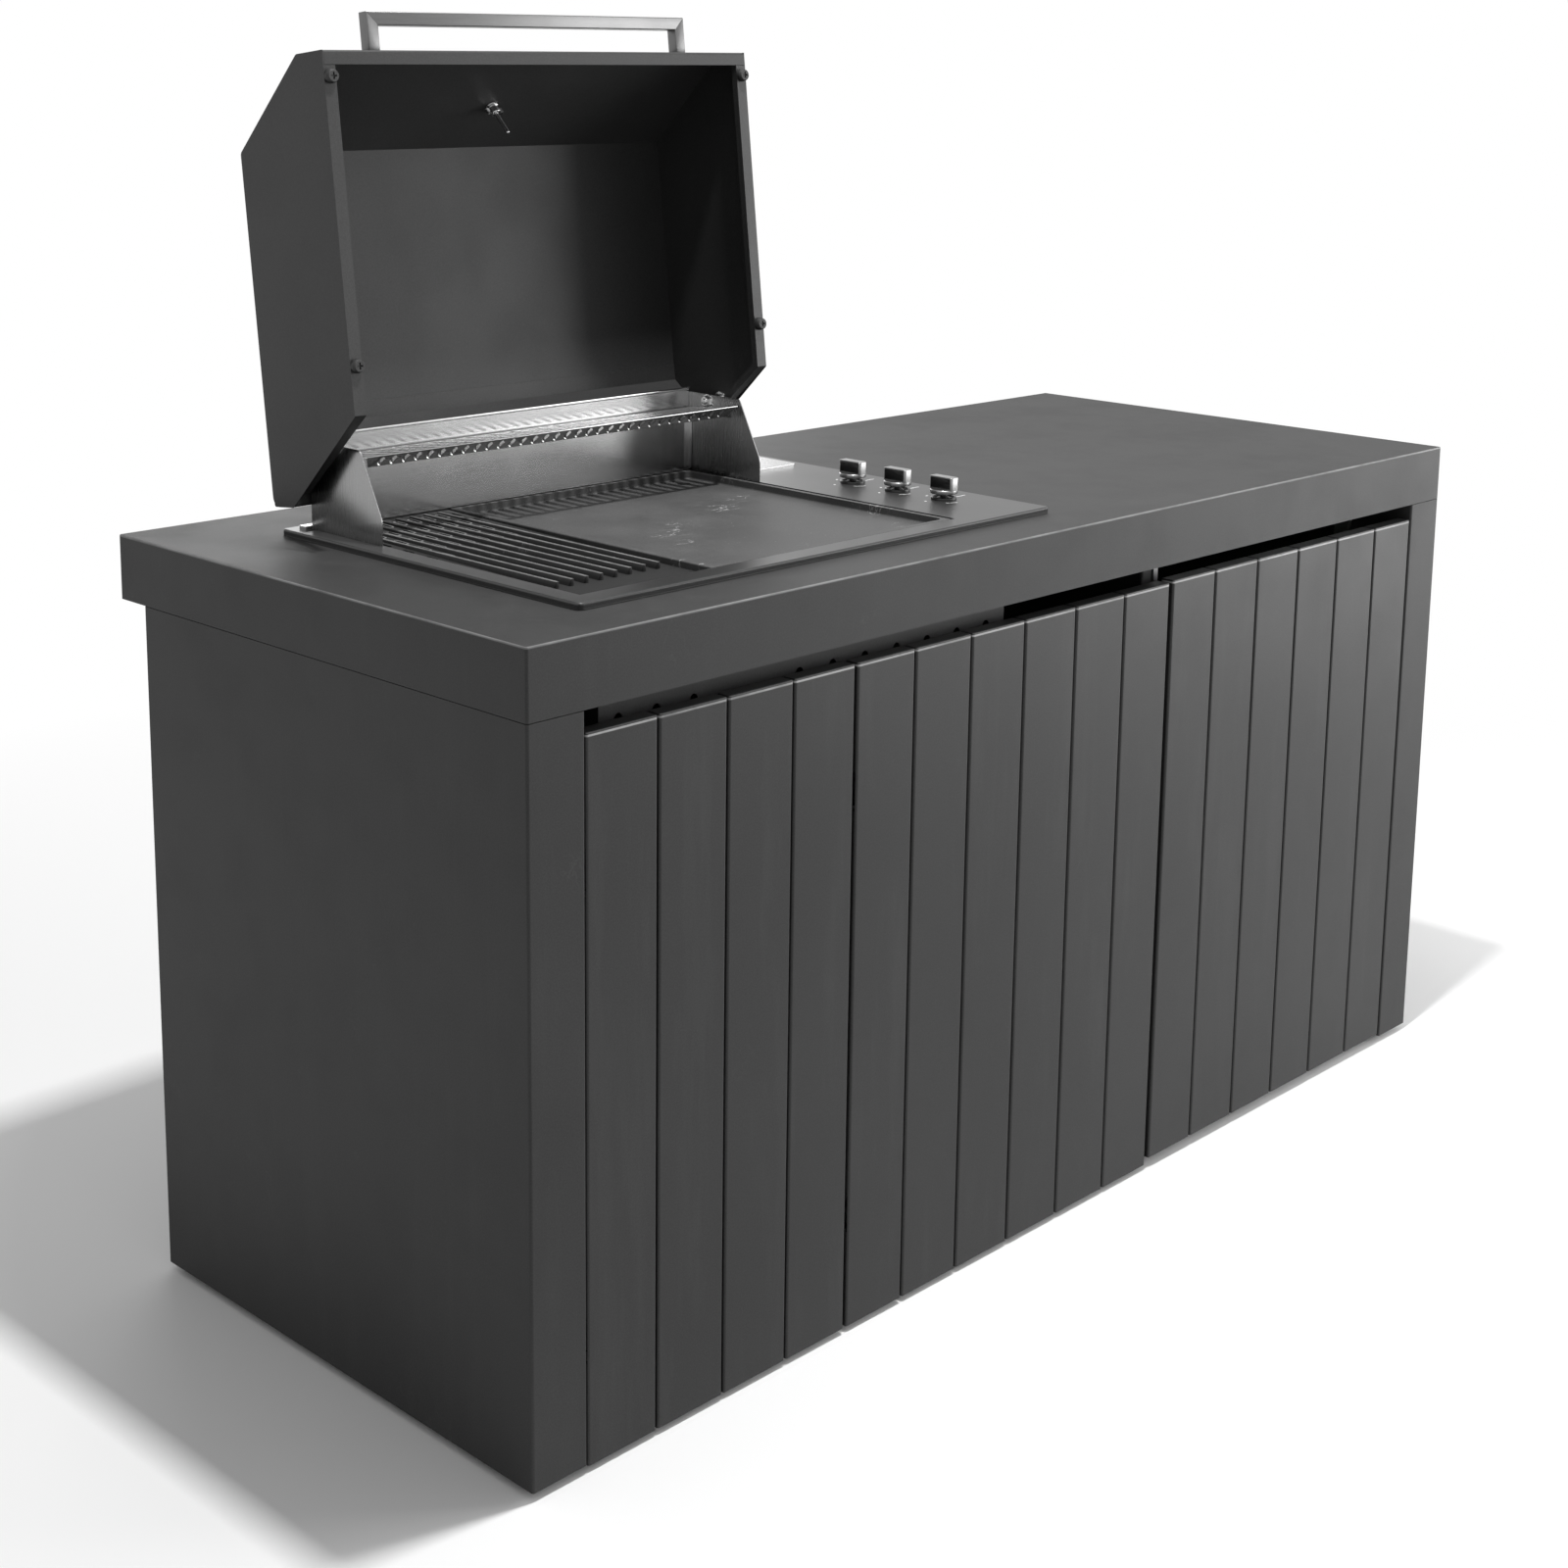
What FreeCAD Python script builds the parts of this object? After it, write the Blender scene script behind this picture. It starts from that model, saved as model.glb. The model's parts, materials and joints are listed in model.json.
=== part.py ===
import FreeCAD, Part
import os
from math import atan2, cos, degrees, hypot, radians, sin

# Outdoor kitchen island: a folded-metal bench with three planked doors and a built-in
# hooded barbecue at its left end. Lengths in millimetres. While it is drawn, X runs from the
# left end, Y from the front face towards the back, and Z up from the floor.

# Driving dimensions of the bench
BENCH_WIDTH = 1750.0
BENCH_DEPTH = 735.0
BENCH_HEIGHT = 910.0
FASCIA_HEIGHT = 77.0
SIDE_DEPTH = 685.0
POST_WIDTH = 75.0
FLOOR_GAP = 10.0
SHEET = 2.0
BEND = 1.0
SHELF_Z = 62.0

# Driving dimensions of the doors, which hang with slightly different gaps and heights
BOARD_PITCH = 100.0
BOARD_GAP = 2.6
BOARD_DEPTH = 20.0
BOARD_WALL = 1.8
DOOR_BOARDS = (4, 6, 6)
DOOR_SIDE_GAPS = ((1.3, 2.4), (2.4, 4.2), (4.2, 3.8))
DOOR_BOTTOMS = (7.0, 7.0, 14.0)
DOOR_TOPS = (809.0, 809.0, 811.0)
HINGE_HEIGHTS = (150.0, 660.0)
PIVOT_IN = 14.0
PIVOT_DEEP = 7.5

# Driving dimensions of the barbecue
HOB_LEFT = 135.0
HOB_WIDTH = 780.0
HOB_FRONT = 77.0
HOB_DEPTH = 526.0
HOB_RISE = 8.0
PLATES_LEFT = 165.0
PLATES_RIGHT = 764.0
PLATES_FRONT = 110.0
PLATES_BACK = 571.0
GRILL_WIDTH = 190.0
RIB_PITCH = 21.0
BACKSPLASH_Y = 575.0
BACKSPLASH_TOP = 1027.0
BRACKET_LEFT = 159.5
BRACKET_RIGHT = 768.5
RACK_SHELF_Z = 1014.0
KNOB_X = 854.0
KNOB_YS = (199.5, 277.5, 355.5)

# Driving dimensions of the hood, drawn shut and then swung open about its pivot
HOOD_LEFT = 136.0
HOOD_WIDTH = 656.0
HOOD_FRONT = 90.0
RIM_Z = 925.6
RIM_LENGTH = 405.0
HOOD_LENGTH = 511.0
HOOD_HEIGHT = 176.0
HOOD_FACE = 50.0
HOOD_SLOPE = 100.0
HOOD_REAR_Z = 136.0
HOOD_SHEET = 1.2
PIVOT_Y = 538.0
PIVOT_Z = 1014.0
PIVOT_RADIUS = 4.0
OPEN_ANGLE = 96.6

# Clearance between turning parts, and how far cutters pass the faces they open
RUNNING = 0.05
PAST = 1.0

# Worked out from the driving dimensions
TOP_UNDER = BENCH_HEIGHT - FASCIA_HEIGHT
HOB_RIGHT = HOB_LEFT + HOB_WIDTH
HOB_BACK = HOB_FRONT + HOB_DEPTH
HOB_TOP = BENCH_HEIGHT + HOB_RISE
HOOD_RIGHT = HOOD_LEFT + HOOD_WIDTH
HOOD_CENTRE = HOOD_LEFT + HOOD_WIDTH / 2
DIVIDERS = (POST_WIDTH + DOOR_BOARDS[0] * BOARD_PITCH,
            POST_WIDTH + (DOOR_BOARDS[0] + DOOR_BOARDS[1]) * BOARD_PITCH)

X = FreeCAD.Vector(1, 0, 0)
Y = FreeCAD.Vector(0, 1, 0)
Z = FreeCAD.Vector(0, 0, 1)


def vec(x, y, z):
    return FreeCAD.Vector(x, y, z)


# Plane maps for flat profiles: what each pair of numbers means in space
def on_xy(z=0.0):
    return lambda a, b: vec(a, b, z)


def on_xz(y=0.0):
    return lambda a, b: vec(a, y, b)


def on_yz(x=0.0):
    return lambda a, b: vec(x, a, b)


def box(x0, y0, z0, x1, y1, z1):
    return Part.makeBox(x1 - x0, y1 - y0, z1 - z0, vec(x0, y0, z0))


def rod(start, direction, radius, length):
    return Part.makeCylinder(radius, length, start, direction)


def joined(shapes):
    first, rest = shapes[0], shapes[1:]
    return first.fuse(rest).removeSplitter() if rest else first


def outline(points, radii, to_space):
    """Closed wire through points, each corner rounded by its own radius."""
    count = len(points)
    starts, ends, bends = [], [], []
    for i, (px, py) in enumerate(points):
        ax, ay = points[i - 1]
        bx, by = points[(i + 1) % count]
        la, lb = hypot(ax - px, ay - py), hypot(bx - px, by - py)
        ux, uy, vx, vy = (ax - px) / la, (ay - py) / la, (bx - px) / lb, (by - py) / lb
        if radii[i] <= 0:
            starts.append((px, py))
            ends.append((px, py))
            bends.append(None)
            continue
        sx, sy = ux + vx, uy + vy
        length = hypot(sx, sy)
        half_cos = length / 2
        half_sin = (1 - half_cos * half_cos) ** 0.5
        reach = radii[i] * half_cos / half_sin
        to_mid = radii[i] / half_sin - radii[i]
        starts.append((px + ux * reach, py + uy * reach))
        ends.append((px + vx * reach, py + vy * reach))
        bends.append((px + sx / length * to_mid, py + sy / length * to_mid))
    edges = []
    for i in range(count):
        if bends[i]:
            edges.append(Part.Arc(to_space(*starts[i]), to_space(*bends[i]), to_space(*ends[i])).toShape())
        here, there = to_space(*ends[i]), to_space(*starts[(i + 1) % count])
        if here.distanceToPoint(there) > 1e-6:
            edges.append(Part.makeLine(here, there))
    return Part.Wire(edges)


def profile(points, radius, to_space, along):
    """Solid prism of a rounded outline."""
    radii = radius if isinstance(radius, (list, tuple)) else [radius] * len(points)
    return Part.Face(outline(points, radii, to_space)).extrude(along)


def folded(path, thickness, bend, to_space, along):
    """Folded sheet: the path is one skin, the thickness lies to its left, corners are bent."""
    count = len(path)
    normals = []
    for i in range(count - 1):
        dx, dy = path[i + 1][0] - path[i][0], path[i + 1][1] - path[i][1]
        length = hypot(dx, dy)
        normals.append((-dy / length, dx / length))
    other, near_radii, far_radii = [], [], []
    for i, (px, py) in enumerate(path):
        before, after = normals[max(i - 1, 0)], normals[min(i, count - 2)]
        dot = before[0] * after[0] + before[1] * after[1]
        mx, my = (before[0] + after[0]) / (1 + dot), (before[1] + after[1]) / (1 + dot)
        other.append((px + mx * thickness, py + my * thickness))
        turn = before[0] * after[1] - before[1] * after[0]
        inner_side = turn > 1e-6
        is_bend = abs(turn) > 1e-6
        near_radii.append((bend + thickness if inner_side else bend) if is_bend else 0.0)
        far_radii.append((bend if inner_side else bend + thickness) if is_bend else 0.0)
    points = list(path) + other[::-1]
    return profile(points, near_radii + far_radii[::-1], to_space, along)


def rounded_box(x0, y0, z0, x1, y1, z1, radius):
    """Box with rounded upright corners."""
    points = [(x0, y0), (x1, y0), (x1, y1), (x0, y1)]
    return profile(points, radius, on_xy(z0), Z * (z1 - z0))


def edges_at(shape, test):
    found = []
    for edge in shape.Edges:
        ends = [v.Point for v in edge.Vertexes]
        if all(test(p) for p in ends) and len(ends) == 2:
            found.append(edge)
    return found


def eased(shape, radius, test):
    """Rounds the edges whose two ends both pass the test."""
    found = edges_at(shape, test)
    return shape.makeFillet(radius, found) if found else shape


def near(value, target):
    return abs(value - target) < 1e-4


def rim_at(shape, z):
    """The edges of a shape that lie in the level plane at a height."""
    return [e for e in shape.Edges if all(near(v.Point.z, z) for v in e.Vertexes)]


def turned(half, radii):
    """Turned piece from its half section: distance from the axis, then height."""
    return Part.Face(outline(half, radii, on_xz())).revolve(vec(0, 0, 0), Z, 360)


def sleeve(x0, y0, z0, x1, y1, z1, wall):
    """Upright rectangular tube with square corners."""
    inner = box(x0 + wall, y0 + wall, z0 - PAST, x1 - wall, y1 - wall, z1 + PAST)
    return box(x0, y0, z0, x1, y1, z1).cut(inner)


def slot(centre, length, radius, to_space, along):
    """Round-ended slot cutter, its long side along the first profile direction."""
    a, b = centre
    points = [(a - length / 2, b - radius), (a + length / 2, b - radius),
              (a + length / 2, b + radius), (a - length / 2, b + radius)]
    return profile(points, radius * 0.98, to_space, along)


def swung(shape):
    """Turns a hood piece from shut to its open rest position."""
    turned = shape.copy()
    turned.rotate(vec(0, PIVOT_Y, PIVOT_Z), X, -OPEN_ANGLE)
    return turned


def save(name, shape):
    """Moves a piece to the shared origin, below the middle of the bench, and writes it."""
    placed = shape.copy()
    placed.translate(vec(-BENCH_WIDTH / 2, -BENCH_DEPTH / 2, 0))
    solids = placed.Solids
    placed = solids[0] if len(solids) == 1 else Part.makeCompound(solids)
    if not placed.isValid():
        print("not valid:", name)
    placed.exportStep(os.path.join("parts", name + ".step"))
    print(name, len(solids), "solids", round(sum(s.Volume for s in solids) / 1000.0, 1), "cm3")

# Bench

LIP = 20.0
SKIN_RADIUS = 3.0
TOP_EDGE_RADIUS = 1.5
CUT_MARGIN = 16.0
CUT_RADIUS = 6.0
CUT_LEFT = HOB_LEFT + CUT_MARGIN
CUT_RIGHT = HOB_RIGHT - CUT_MARGIN
CUT_FRONT = HOB_FRONT + CUT_MARGIN
CUT_BACK = HOB_BACK - CUT_MARGIN


def bench_top():
    """Tray with turned-down fascias, inward lips and the cut-out for the barbecue."""
    outer = rounded_box(0, 0, TOP_UNDER, BENCH_WIDTH, BENCH_DEPTH, BENCH_HEIGHT, SKIN_RADIUS)
    outer = outer.makeFillet(TOP_EDGE_RADIUS, rim_at(outer, BENCH_HEIGHT))
    hollow = box(SHEET, SHEET, TOP_UNDER + SHEET,
                 BENCH_WIDTH - SHEET, BENCH_DEPTH - SHEET, BENCH_HEIGHT - SHEET)
    mouth = box(LIP, LIP, TOP_UNDER - PAST, BENCH_WIDTH - LIP, BENCH_DEPTH - LIP, TOP_UNDER + SHEET + PAST)
    cut_out = rounded_box(CUT_LEFT, CUT_FRONT, BENCH_HEIGHT - SHEET - PAST,
                          CUT_RIGHT, CUT_BACK, BENCH_HEIGHT + PAST, CUT_RADIUS)
    return outer.cut([hollow, mouth, cut_out])


POST_RETURN = 96.0
REAR_RETURN = 30.0
TOP_LIP = 24.0
BASE_LIP = 92.0
PANEL_TOP = TOP_UNDER - 0.8


def side_panel(mirrored):
    """Side sheet folded round the front post and back along it, with a rear return."""
    path = [(POST_WIDTH, POST_RETURN), (POST_WIDTH, 0), (0, 0), (0, SIDE_DEPTH), (REAR_RETURN, SIDE_DEPTH)]
    wall = folded(path[::-1], SHEET, BEND, on_xy(FLOOR_GAP), Z * (PANEL_TOP - FLOOR_GAP))
    half = SHEET / 2
    lips = []
    for z, lip in ((FLOOR_GAP, BASE_LIP), (PANEL_TOP - SHEET, TOP_LIP)):
        lips.append(box(half, POST_RETURN - PAST, z, lip, SIDE_DEPTH - SHEET - BEND, z + SHEET))
        lips.append(box(half, half, z, POST_WIDTH - half, POST_RETURN, z + SHEET))
    panel = joined([wall] + lips)
    if mirrored:
        panel = panel.mirror(vec(BENCH_WIDTH / 2, 0, 0), X)
    return panel


REAR_CLEARANCE = 0.4
REAR_MEETING_GAP = 1.0
REAR_FLANGE = 18.0
REAR_FOOT = FLOOR_GAP + 6.0
REAR_HEAD = PANEL_TOP - 3.0
REAR_SLOT_LENGTH = 90.0
REAR_SLOT_RADIUS = 3.5
REAR_SLOT_PITCH = 150.0
REAR_SLOTS_ABREAST = 4
REAR_SLOT_HEIGHTS = (130.0, 148.0, 166.0, 700.0, 718.0, 736.0)


def back_panel():
    """Rear sheet in two trays side by side, each with low and high vent slots."""
    trays = []
    middle = BENCH_WIDTH / 2
    left, right = SHEET + REAR_CLEARANCE, BENCH_WIDTH - SHEET - REAR_CLEARANCE
    back = SIDE_DEPTH - SHEET - REAR_CLEARANCE
    half_gap = REAR_MEETING_GAP / 2
    for x0, x1 in ((left, middle - half_gap), (middle + half_gap, right)):
        path = [(x1, back - REAR_FLANGE), (x1, back), (x0, back), (x0, back - REAR_FLANGE)]
        tray = folded(path, SHEET, BEND, on_xy(REAR_FOOT), Z * (REAR_HEAD - REAR_FOOT))
        slots = []
        for z in REAR_SLOT_HEIGHTS:
            for k in range(REAR_SLOTS_ABREAST):
                x = (x0 + x1) / 2 + (k - (REAR_SLOTS_ABREAST - 1) / 2) * REAR_SLOT_PITCH
                slots.append(slot((x, z), REAR_SLOT_LENGTH, REAR_SLOT_RADIUS, on_xz(back - SHEET - PAST),
                                  Y * (SHEET + 2 * PAST)))
        trays.append(tray.cut(slots))
    return Part.makeCompound(trays)


DIVIDER_FRONT = 46.0
DIVIDER_BACK = SIDE_DEPTH - SHEET - 24.0
DIVIDER_FLANGE = 22.0
DIVIDER_RETURN = 24.0
DIVIDER_FOOT = SHELF_Z + SHEET + 0.3
DIVIDER_HEAD = PANEL_TOP - 3.7
FIREBOX_NOTCH_Z = 700.0
FIREBOX_NOTCH_Y = DIVIDER_FRONT + 26.0


def divider(x, beside_firebox):
    """Upright panel between bays, folded at its front edge; one is cut away for the firebox."""
    near_side = x - SHEET / 2
    if beside_firebox:
        path = [(near_side, DIVIDER_BACK), (near_side, DIVIDER_FRONT),
                (near_side - DIVIDER_FLANGE, DIVIDER_FRONT)]
    else:
        far_side = near_side + DIVIDER_FLANGE
        path = [(near_side, DIVIDER_BACK), (near_side, DIVIDER_FRONT), (far_side, DIVIDER_FRONT),
                (far_side, DIVIDER_FRONT + DIVIDER_RETURN)]
    wall = folded(path, SHEET, BEND, on_xy(DIVIDER_FOOT), Z * (DIVIDER_HEAD - DIVIDER_FOOT))
    if beside_firebox:
        wall = wall.cut(box(x - DIVIDER_FLANGE, FIREBOX_NOTCH_Y, FIREBOX_NOTCH_Z,
                            x + DIVIDER_FLANGE, DIVIDER_BACK + PAST, PANEL_TOP))
    return wall


SHELF_FOOT = FLOOR_GAP + SHEET + 0.1
SHELF_EDGE_RADIUS = 2.5
SHELF_SLOT_LENGTH = 130.0
SHELF_SLOT_RADIUS = 4.0
SHELF_SLOT_PITCH = 34.0
SHELF_SLOT_ROWS = 7
SHELF_SLOT_MIDDLE_Y = 360.0
SHELF_SLOT_XS = (275.0, 620.0, 930.0, 1375.0)


def base_shelf():
    """Floor tray with turned-down edges, raised on a front and a rear fold, with vent slots."""
    x0, x1 = POST_WIDTH + 1, BENCH_WIDTH - POST_WIDTH - 1
    y0, y1 = DIVIDER_FRONT, SIDE_DEPTH - 26
    top = SHELF_Z + SHEET
    tray = box(x0, y0, SHELF_FOOT, x1, y1, top)
    tray = eased(tray, SHELF_EDGE_RADIUS, lambda p: near(p.z, top))
    tray = tray.cut(box(x0 + SHEET, y0 + SHEET, 0, x1 - SHEET, y1 - SHEET, SHELF_Z))
    slots = []
    for x in SHELF_SLOT_XS:
        for k in range(SHELF_SLOT_ROWS):
            y = SHELF_SLOT_MIDDLE_Y + (k - SHELF_SLOT_ROWS // 2) * SHELF_SLOT_PITCH
            slots.append(slot((x, y), SHELF_SLOT_LENGTH, SHELF_SLOT_RADIUS, on_xy(SHELF_Z - PAST),
                              Z * (SHEET + 2 * PAST)))
    return tray.cut(slots)


FOOT_RADIUS = 19.0
FOOT_PAD = 9.0
FOOT_CONE = 14.0
FOOT_STEM_RADIUS = 9.0
FOOT_HEAD = SHELF_Z - 0.1
FOOT_XS = (120.0, BENCH_WIDTH / 2, BENCH_WIDTH - 120.0)
FOOT_YS = (130.0, 590.0)


def feet():
    """Six round feet under the shelf tray, each with a flange, set well back from the edges."""
    shapes = []
    for x in FOOT_XS:
        for y in FOOT_YS:
            half = [(0, 0), (FOOT_RADIUS, 0), (FOOT_RADIUS, FOOT_PAD), (FOOT_STEM_RADIUS, FOOT_CONE),
                    (FOOT_STEM_RADIUS, FOOT_HEAD), (0, FOOT_HEAD)]
            foot = turned(half, [0, 1.5, 2.5, 1, 0, 0])
            foot.translate(vec(x, y, 0))
            shapes.append(foot)
    return Part.makeCompound(shapes)


FRAME_BAR = 9.0
FRAME_DEPTH = 24.0
FRAME_RIGHT_SET_BACK = 52.0
FRAME_BAND = 3.0
FRAME_BAND_LOW = TOP_UNDER - 12.0
FRAME_TOP = TOP_UNDER + 40.0
FRAME_TIE_LOW = TOP_UNDER + 10.0
FRAME_SCREW_RADIUS = 2.2
FRAME_SCREW_Z = TOP_UNDER - 5.0
FRAME_SCREW_PITCH = 80.0
FRAME_SCREW_END = 40.0
BAY_LEFT = DIVIDERS[1] + 22.4
BAY_RIGHT = BENCH_WIDTH - POST_WIDTH - 1.0
BAY_FRONT = 44.5


def bay_frame():
    """Bare metal surround of the right bay: two uprights and a deep top band with screw holes."""
    tie_front = BAY_FRONT + FRAME_RIGHT_SET_BACK
    tie_left = BAY_RIGHT - FRAME_BAR
    left = box(BAY_LEFT, BAY_FRONT, DIVIDER_FOOT, BAY_LEFT + FRAME_BAR, BAY_FRONT + FRAME_DEPTH, FRAME_TOP)
    right = box(tie_left, tie_front, DIVIDER_FOOT, BAY_RIGHT, tie_front + FRAME_DEPTH, FRAME_TOP)
    band = box(BAY_LEFT, BAY_FRONT, FRAME_BAND_LOW, BAY_RIGHT, BAY_FRONT + FRAME_BAND, FRAME_TOP)
    screws = []
    for k in range(int((BAY_RIGHT - BAY_LEFT - FRAME_SCREW_END) / FRAME_SCREW_PITCH) + 1):
        x = BAY_LEFT + FRAME_SCREW_END + k * FRAME_SCREW_PITCH
        place = vec(x, BAY_FRONT - PAST, FRAME_SCREW_Z)
        screws.append(rod(place, Y, FRAME_SCREW_RADIUS, FRAME_BAND + 2 * PAST))
    tie = box(tie_left, BAY_FRONT, FRAME_TIE_LOW, BAY_RIGHT, tie_front + PAST, FRAME_TOP)
    return joined([joined([left, band]).cut(screws), right, tie])


STIFFENER_Y = 330.0
STIFFENER_FLANGE = 22.0
STIFFENER_CROWN = 40.0
STIFFENER_DEPTH = 26.0
STIFFENER_END = 40.0


def stiffener():
    """Hat-section rail that stiffens the plain right half of the top."""
    z = BENCH_HEIGHT - SHEET - 0.2
    y1 = STIFFENER_Y + STIFFENER_FLANGE
    y2 = y1 + STIFFENER_CROWN
    path = [(STIFFENER_Y, z), (y1, z), (y1, z - STIFFENER_DEPTH), (y2, z - STIFFENER_DEPTH), (y2, z),
            (y2 + STIFFENER_FLANGE, z)]
    length = BENCH_WIDTH - CUT_RIGHT - 2 * STIFFENER_END
    return folded(path[::-1], SHEET, BEND, on_yz(CUT_RIGHT + STIFFENER_END), X * length)


SHIELD_LEFT = 130.0
SHIELD_RIGHT = 785.0
SHIELD_Y = 46.0
SHIELD_SHEET = 1.5
SHIELD_RETURN = 30.0
SHIELD_LOW = TOP_UNDER - 110.0
SHIELD_HIGH = TOP_UNDER + 60.0
VENT_RADIUS = 6.0
VENT_PITCH = 54.0
VENT_TOP_ROW = TOP_UNDER - 42.0
VENT_ROW_STEP = 24.0
VENT_ROWS = 3
PLAIN_VENTS = (3, 4)


def heat_shield():
    """Folded plate between the doors and the firebox, with three rows of round vent holes."""
    path = [(SHIELD_LEFT, SHIELD_Y + SHIELD_RETURN), (SHIELD_LEFT, SHIELD_Y), (SHIELD_RIGHT, SHIELD_Y),
            (SHIELD_RIGHT, SHIELD_Y + SHIELD_RETURN)]
    plate = folded(path, SHIELD_SHEET, SHIELD_SHEET, on_xy(SHIELD_LOW), Z * (SHIELD_HIGH - SHIELD_LOW))
    notch_left = DIVIDERS[0] - DIVIDER_FLANGE - 2.5
    notch_right = DIVIDERS[0] + 2.5
    notch = box(notch_left, SHIELD_Y - PAST, SHIELD_LOW - PAST, notch_right, SHIELD_Y + SHIELD_RETURN + PAST,
                PANEL_TOP - 1)
    holes = []
    for row in range(VENT_ROWS):
        for k in range(int((SHIELD_RIGHT - SHIELD_LEFT) / VENT_PITCH)):
            x = SHIELD_LEFT + (k + 0.5) * VENT_PITCH
            in_notch = notch_left < x + 2 * VENT_RADIUS and x - 2 * VENT_RADIUS < notch_right
            plain = row == 0 and k in PLAIN_VENTS
            if not in_notch and not plain:
                z = VENT_TOP_ROW - row * VENT_ROW_STEP
                holes.append(rod(vec(x, SHIELD_Y - PAST, z), Y, VENT_RADIUS, SHIELD_SHEET + 2 * PAST))
    return plate.cut([notch] + holes)


# Doors

BOARD_RADIUS = 3.0
BOARD_BORE_RADIUS = 1.2
HINGE_NOTCH = 46.0
NOTCH_REACH = 27.0
PIN_RADIUS = 3.0
PIN_TAIL = 5.0
KNUCKLE_RADIUS = 5.2
KNUCKLE_PLAY = 2.5
LUG = 4.0
LUG_PLAY = 0.6
LUG_REACH = 26.0
CAP = 2.0
CAP_EDGE_RADIUS = 1.2
SPIGOT = 8.0
SPIGOT_PLAY = 0.2
RAIL_DEPTH = 20.0
RAIL_HEIGHT = 40.0
RAIL_WALL = 2.0
RAIL_HINGE_END = 36.0
RAIL_FREE_END = 26.0
RAIL_LOW = 70.0
RAIL_HIGH = 700.0
ARM_SHEET = 3.0
ARM_BEND = 1.2
ARM_BACK = 92.0
ARM_CRANK_Y = 50.0
ARM_CRANK_SLOPE = 0.9
ARM_SCREW_RADIUS = 2.6
ARM_SCREW_YS = (62.0, 82.0)
ARM_SCREW_RISE = 10.0


class Door:
    """One planked door: where its edges, hinge side and neighbours are."""

    def __init__(self, name, place, hinged_left, support_x):
        self.name = name
        self.x0 = POST_WIDTH + sum(DOOR_BOARDS[:place]) * BOARD_PITCH
        self.boards = DOOR_BOARDS[place]
        self.gap_left, self.gap_right = DOOR_SIDE_GAPS[place]
        self.bottom = DOOR_BOTTOMS[place]
        self.top = DOOR_TOPS[place]
        self.left = self.x0 + self.gap_left
        self.right = self.x0 + self.boards * BOARD_PITCH - self.gap_right
        self.side = 1 if hinged_left else -1
        self.edge = self.left if hinged_left else self.right
        self.pivot_x = self.edge + self.side * PIVOT_IN
        self.support_x = support_x

    def span(self, near_offset, far_offset):
        """Two X values measured inwards from the hinge edge, lowest first."""
        a = self.edge + self.side * near_offset
        b = self.edge + self.side * far_offset
        return min(a, b), max(a, b)

    def board_edges(self):
        """Left and right edge of each batten; the outer ones stop at the door's own edges."""
        edges = []
        for k in range(self.boards):
            left = self.x0 + k * BOARD_PITCH + BOARD_GAP / 2
            right = left + BOARD_PITCH - BOARD_GAP
            edges.append((self.left if k == 0 else left, self.right if k == self.boards - 1 else right))
        return edges


DOORS = (
    Door("door_left", 0, True, POST_WIDTH),
    Door("door_middle", 1, True, DIVIDERS[0] + SHEET / 2),
    Door("door_right", 2, False, BENCH_WIDTH - POST_WIDTH),
)


def door_boards(door):
    """Hollow rounded battens side by side; the hinge-side one is notched round each hinge."""
    boards = []
    z0, z1 = door.bottom + CAP, door.top - CAP
    w = BOARD_WALL
    for x0, x1 in door.board_edges():
        board = rounded_box(x0, 0, z0, x1, BOARD_DEPTH, z1, BOARD_RADIUS)
        board = board.cut(rounded_box(x0 + w, w, z0 - PAST, x1 - w, BOARD_DEPTH - w, z1 + PAST,
                                      BOARD_BORE_RADIUS))
        if door.edge in (x0, x1):
            a, b = door.span(-PAST, NOTCH_REACH)
            for z in HINGE_HEIGHTS:
                board = board.cut(box(a, w + 0.01, z - HINGE_NOTCH / 2, b, BOARD_DEPTH + PAST,
                                      z + HINGE_NOTCH / 2))
        boards.append(board)
    return Part.makeCompound(boards)


def door_caps(door):
    """End plugs of the battens: a plate with a short spigot, top and bottom."""
    caps = []
    w = BOARD_WALL + SPIGOT_PLAY
    for x0, x1 in door.board_edges():
        for outer_z, inner_z in ((door.bottom, door.bottom + CAP), (door.top, door.top - CAP)):
            z0, z1 = sorted((outer_z, inner_z))
            plate = rounded_box(x0, 0, z0, x1, BOARD_DEPTH, z1, BOARD_RADIUS)
            plate = plate.makeFillet(CAP_EDGE_RADIUS, rim_at(plate, outer_z))
            low = inner_z if inner_z > outer_z else inner_z - SPIGOT
            spigot = rounded_box(x0 + w, w, low, x1 - w, BOARD_DEPTH - w, low + SPIGOT, 1.0)
            caps.append(joined([plate, spigot]))
    return Part.makeCompound(caps)


def square_tube(x0, y0, z0, x1, y1, z1, along_x):
    """Square tube with open ends, along X or upright."""
    w = RAIL_WALL
    tube = box(x0, y0, z0, x1, y1, z1)
    if along_x:
        return tube.cut(box(x0 - PAST, y0 + w, z0 + w, x1 + PAST, y1 - w, z1 - w))
    return tube.cut(box(x0 + w, y0 + w, z0 - PAST, x1 - w, y1 - w, z1 + PAST))


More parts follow.
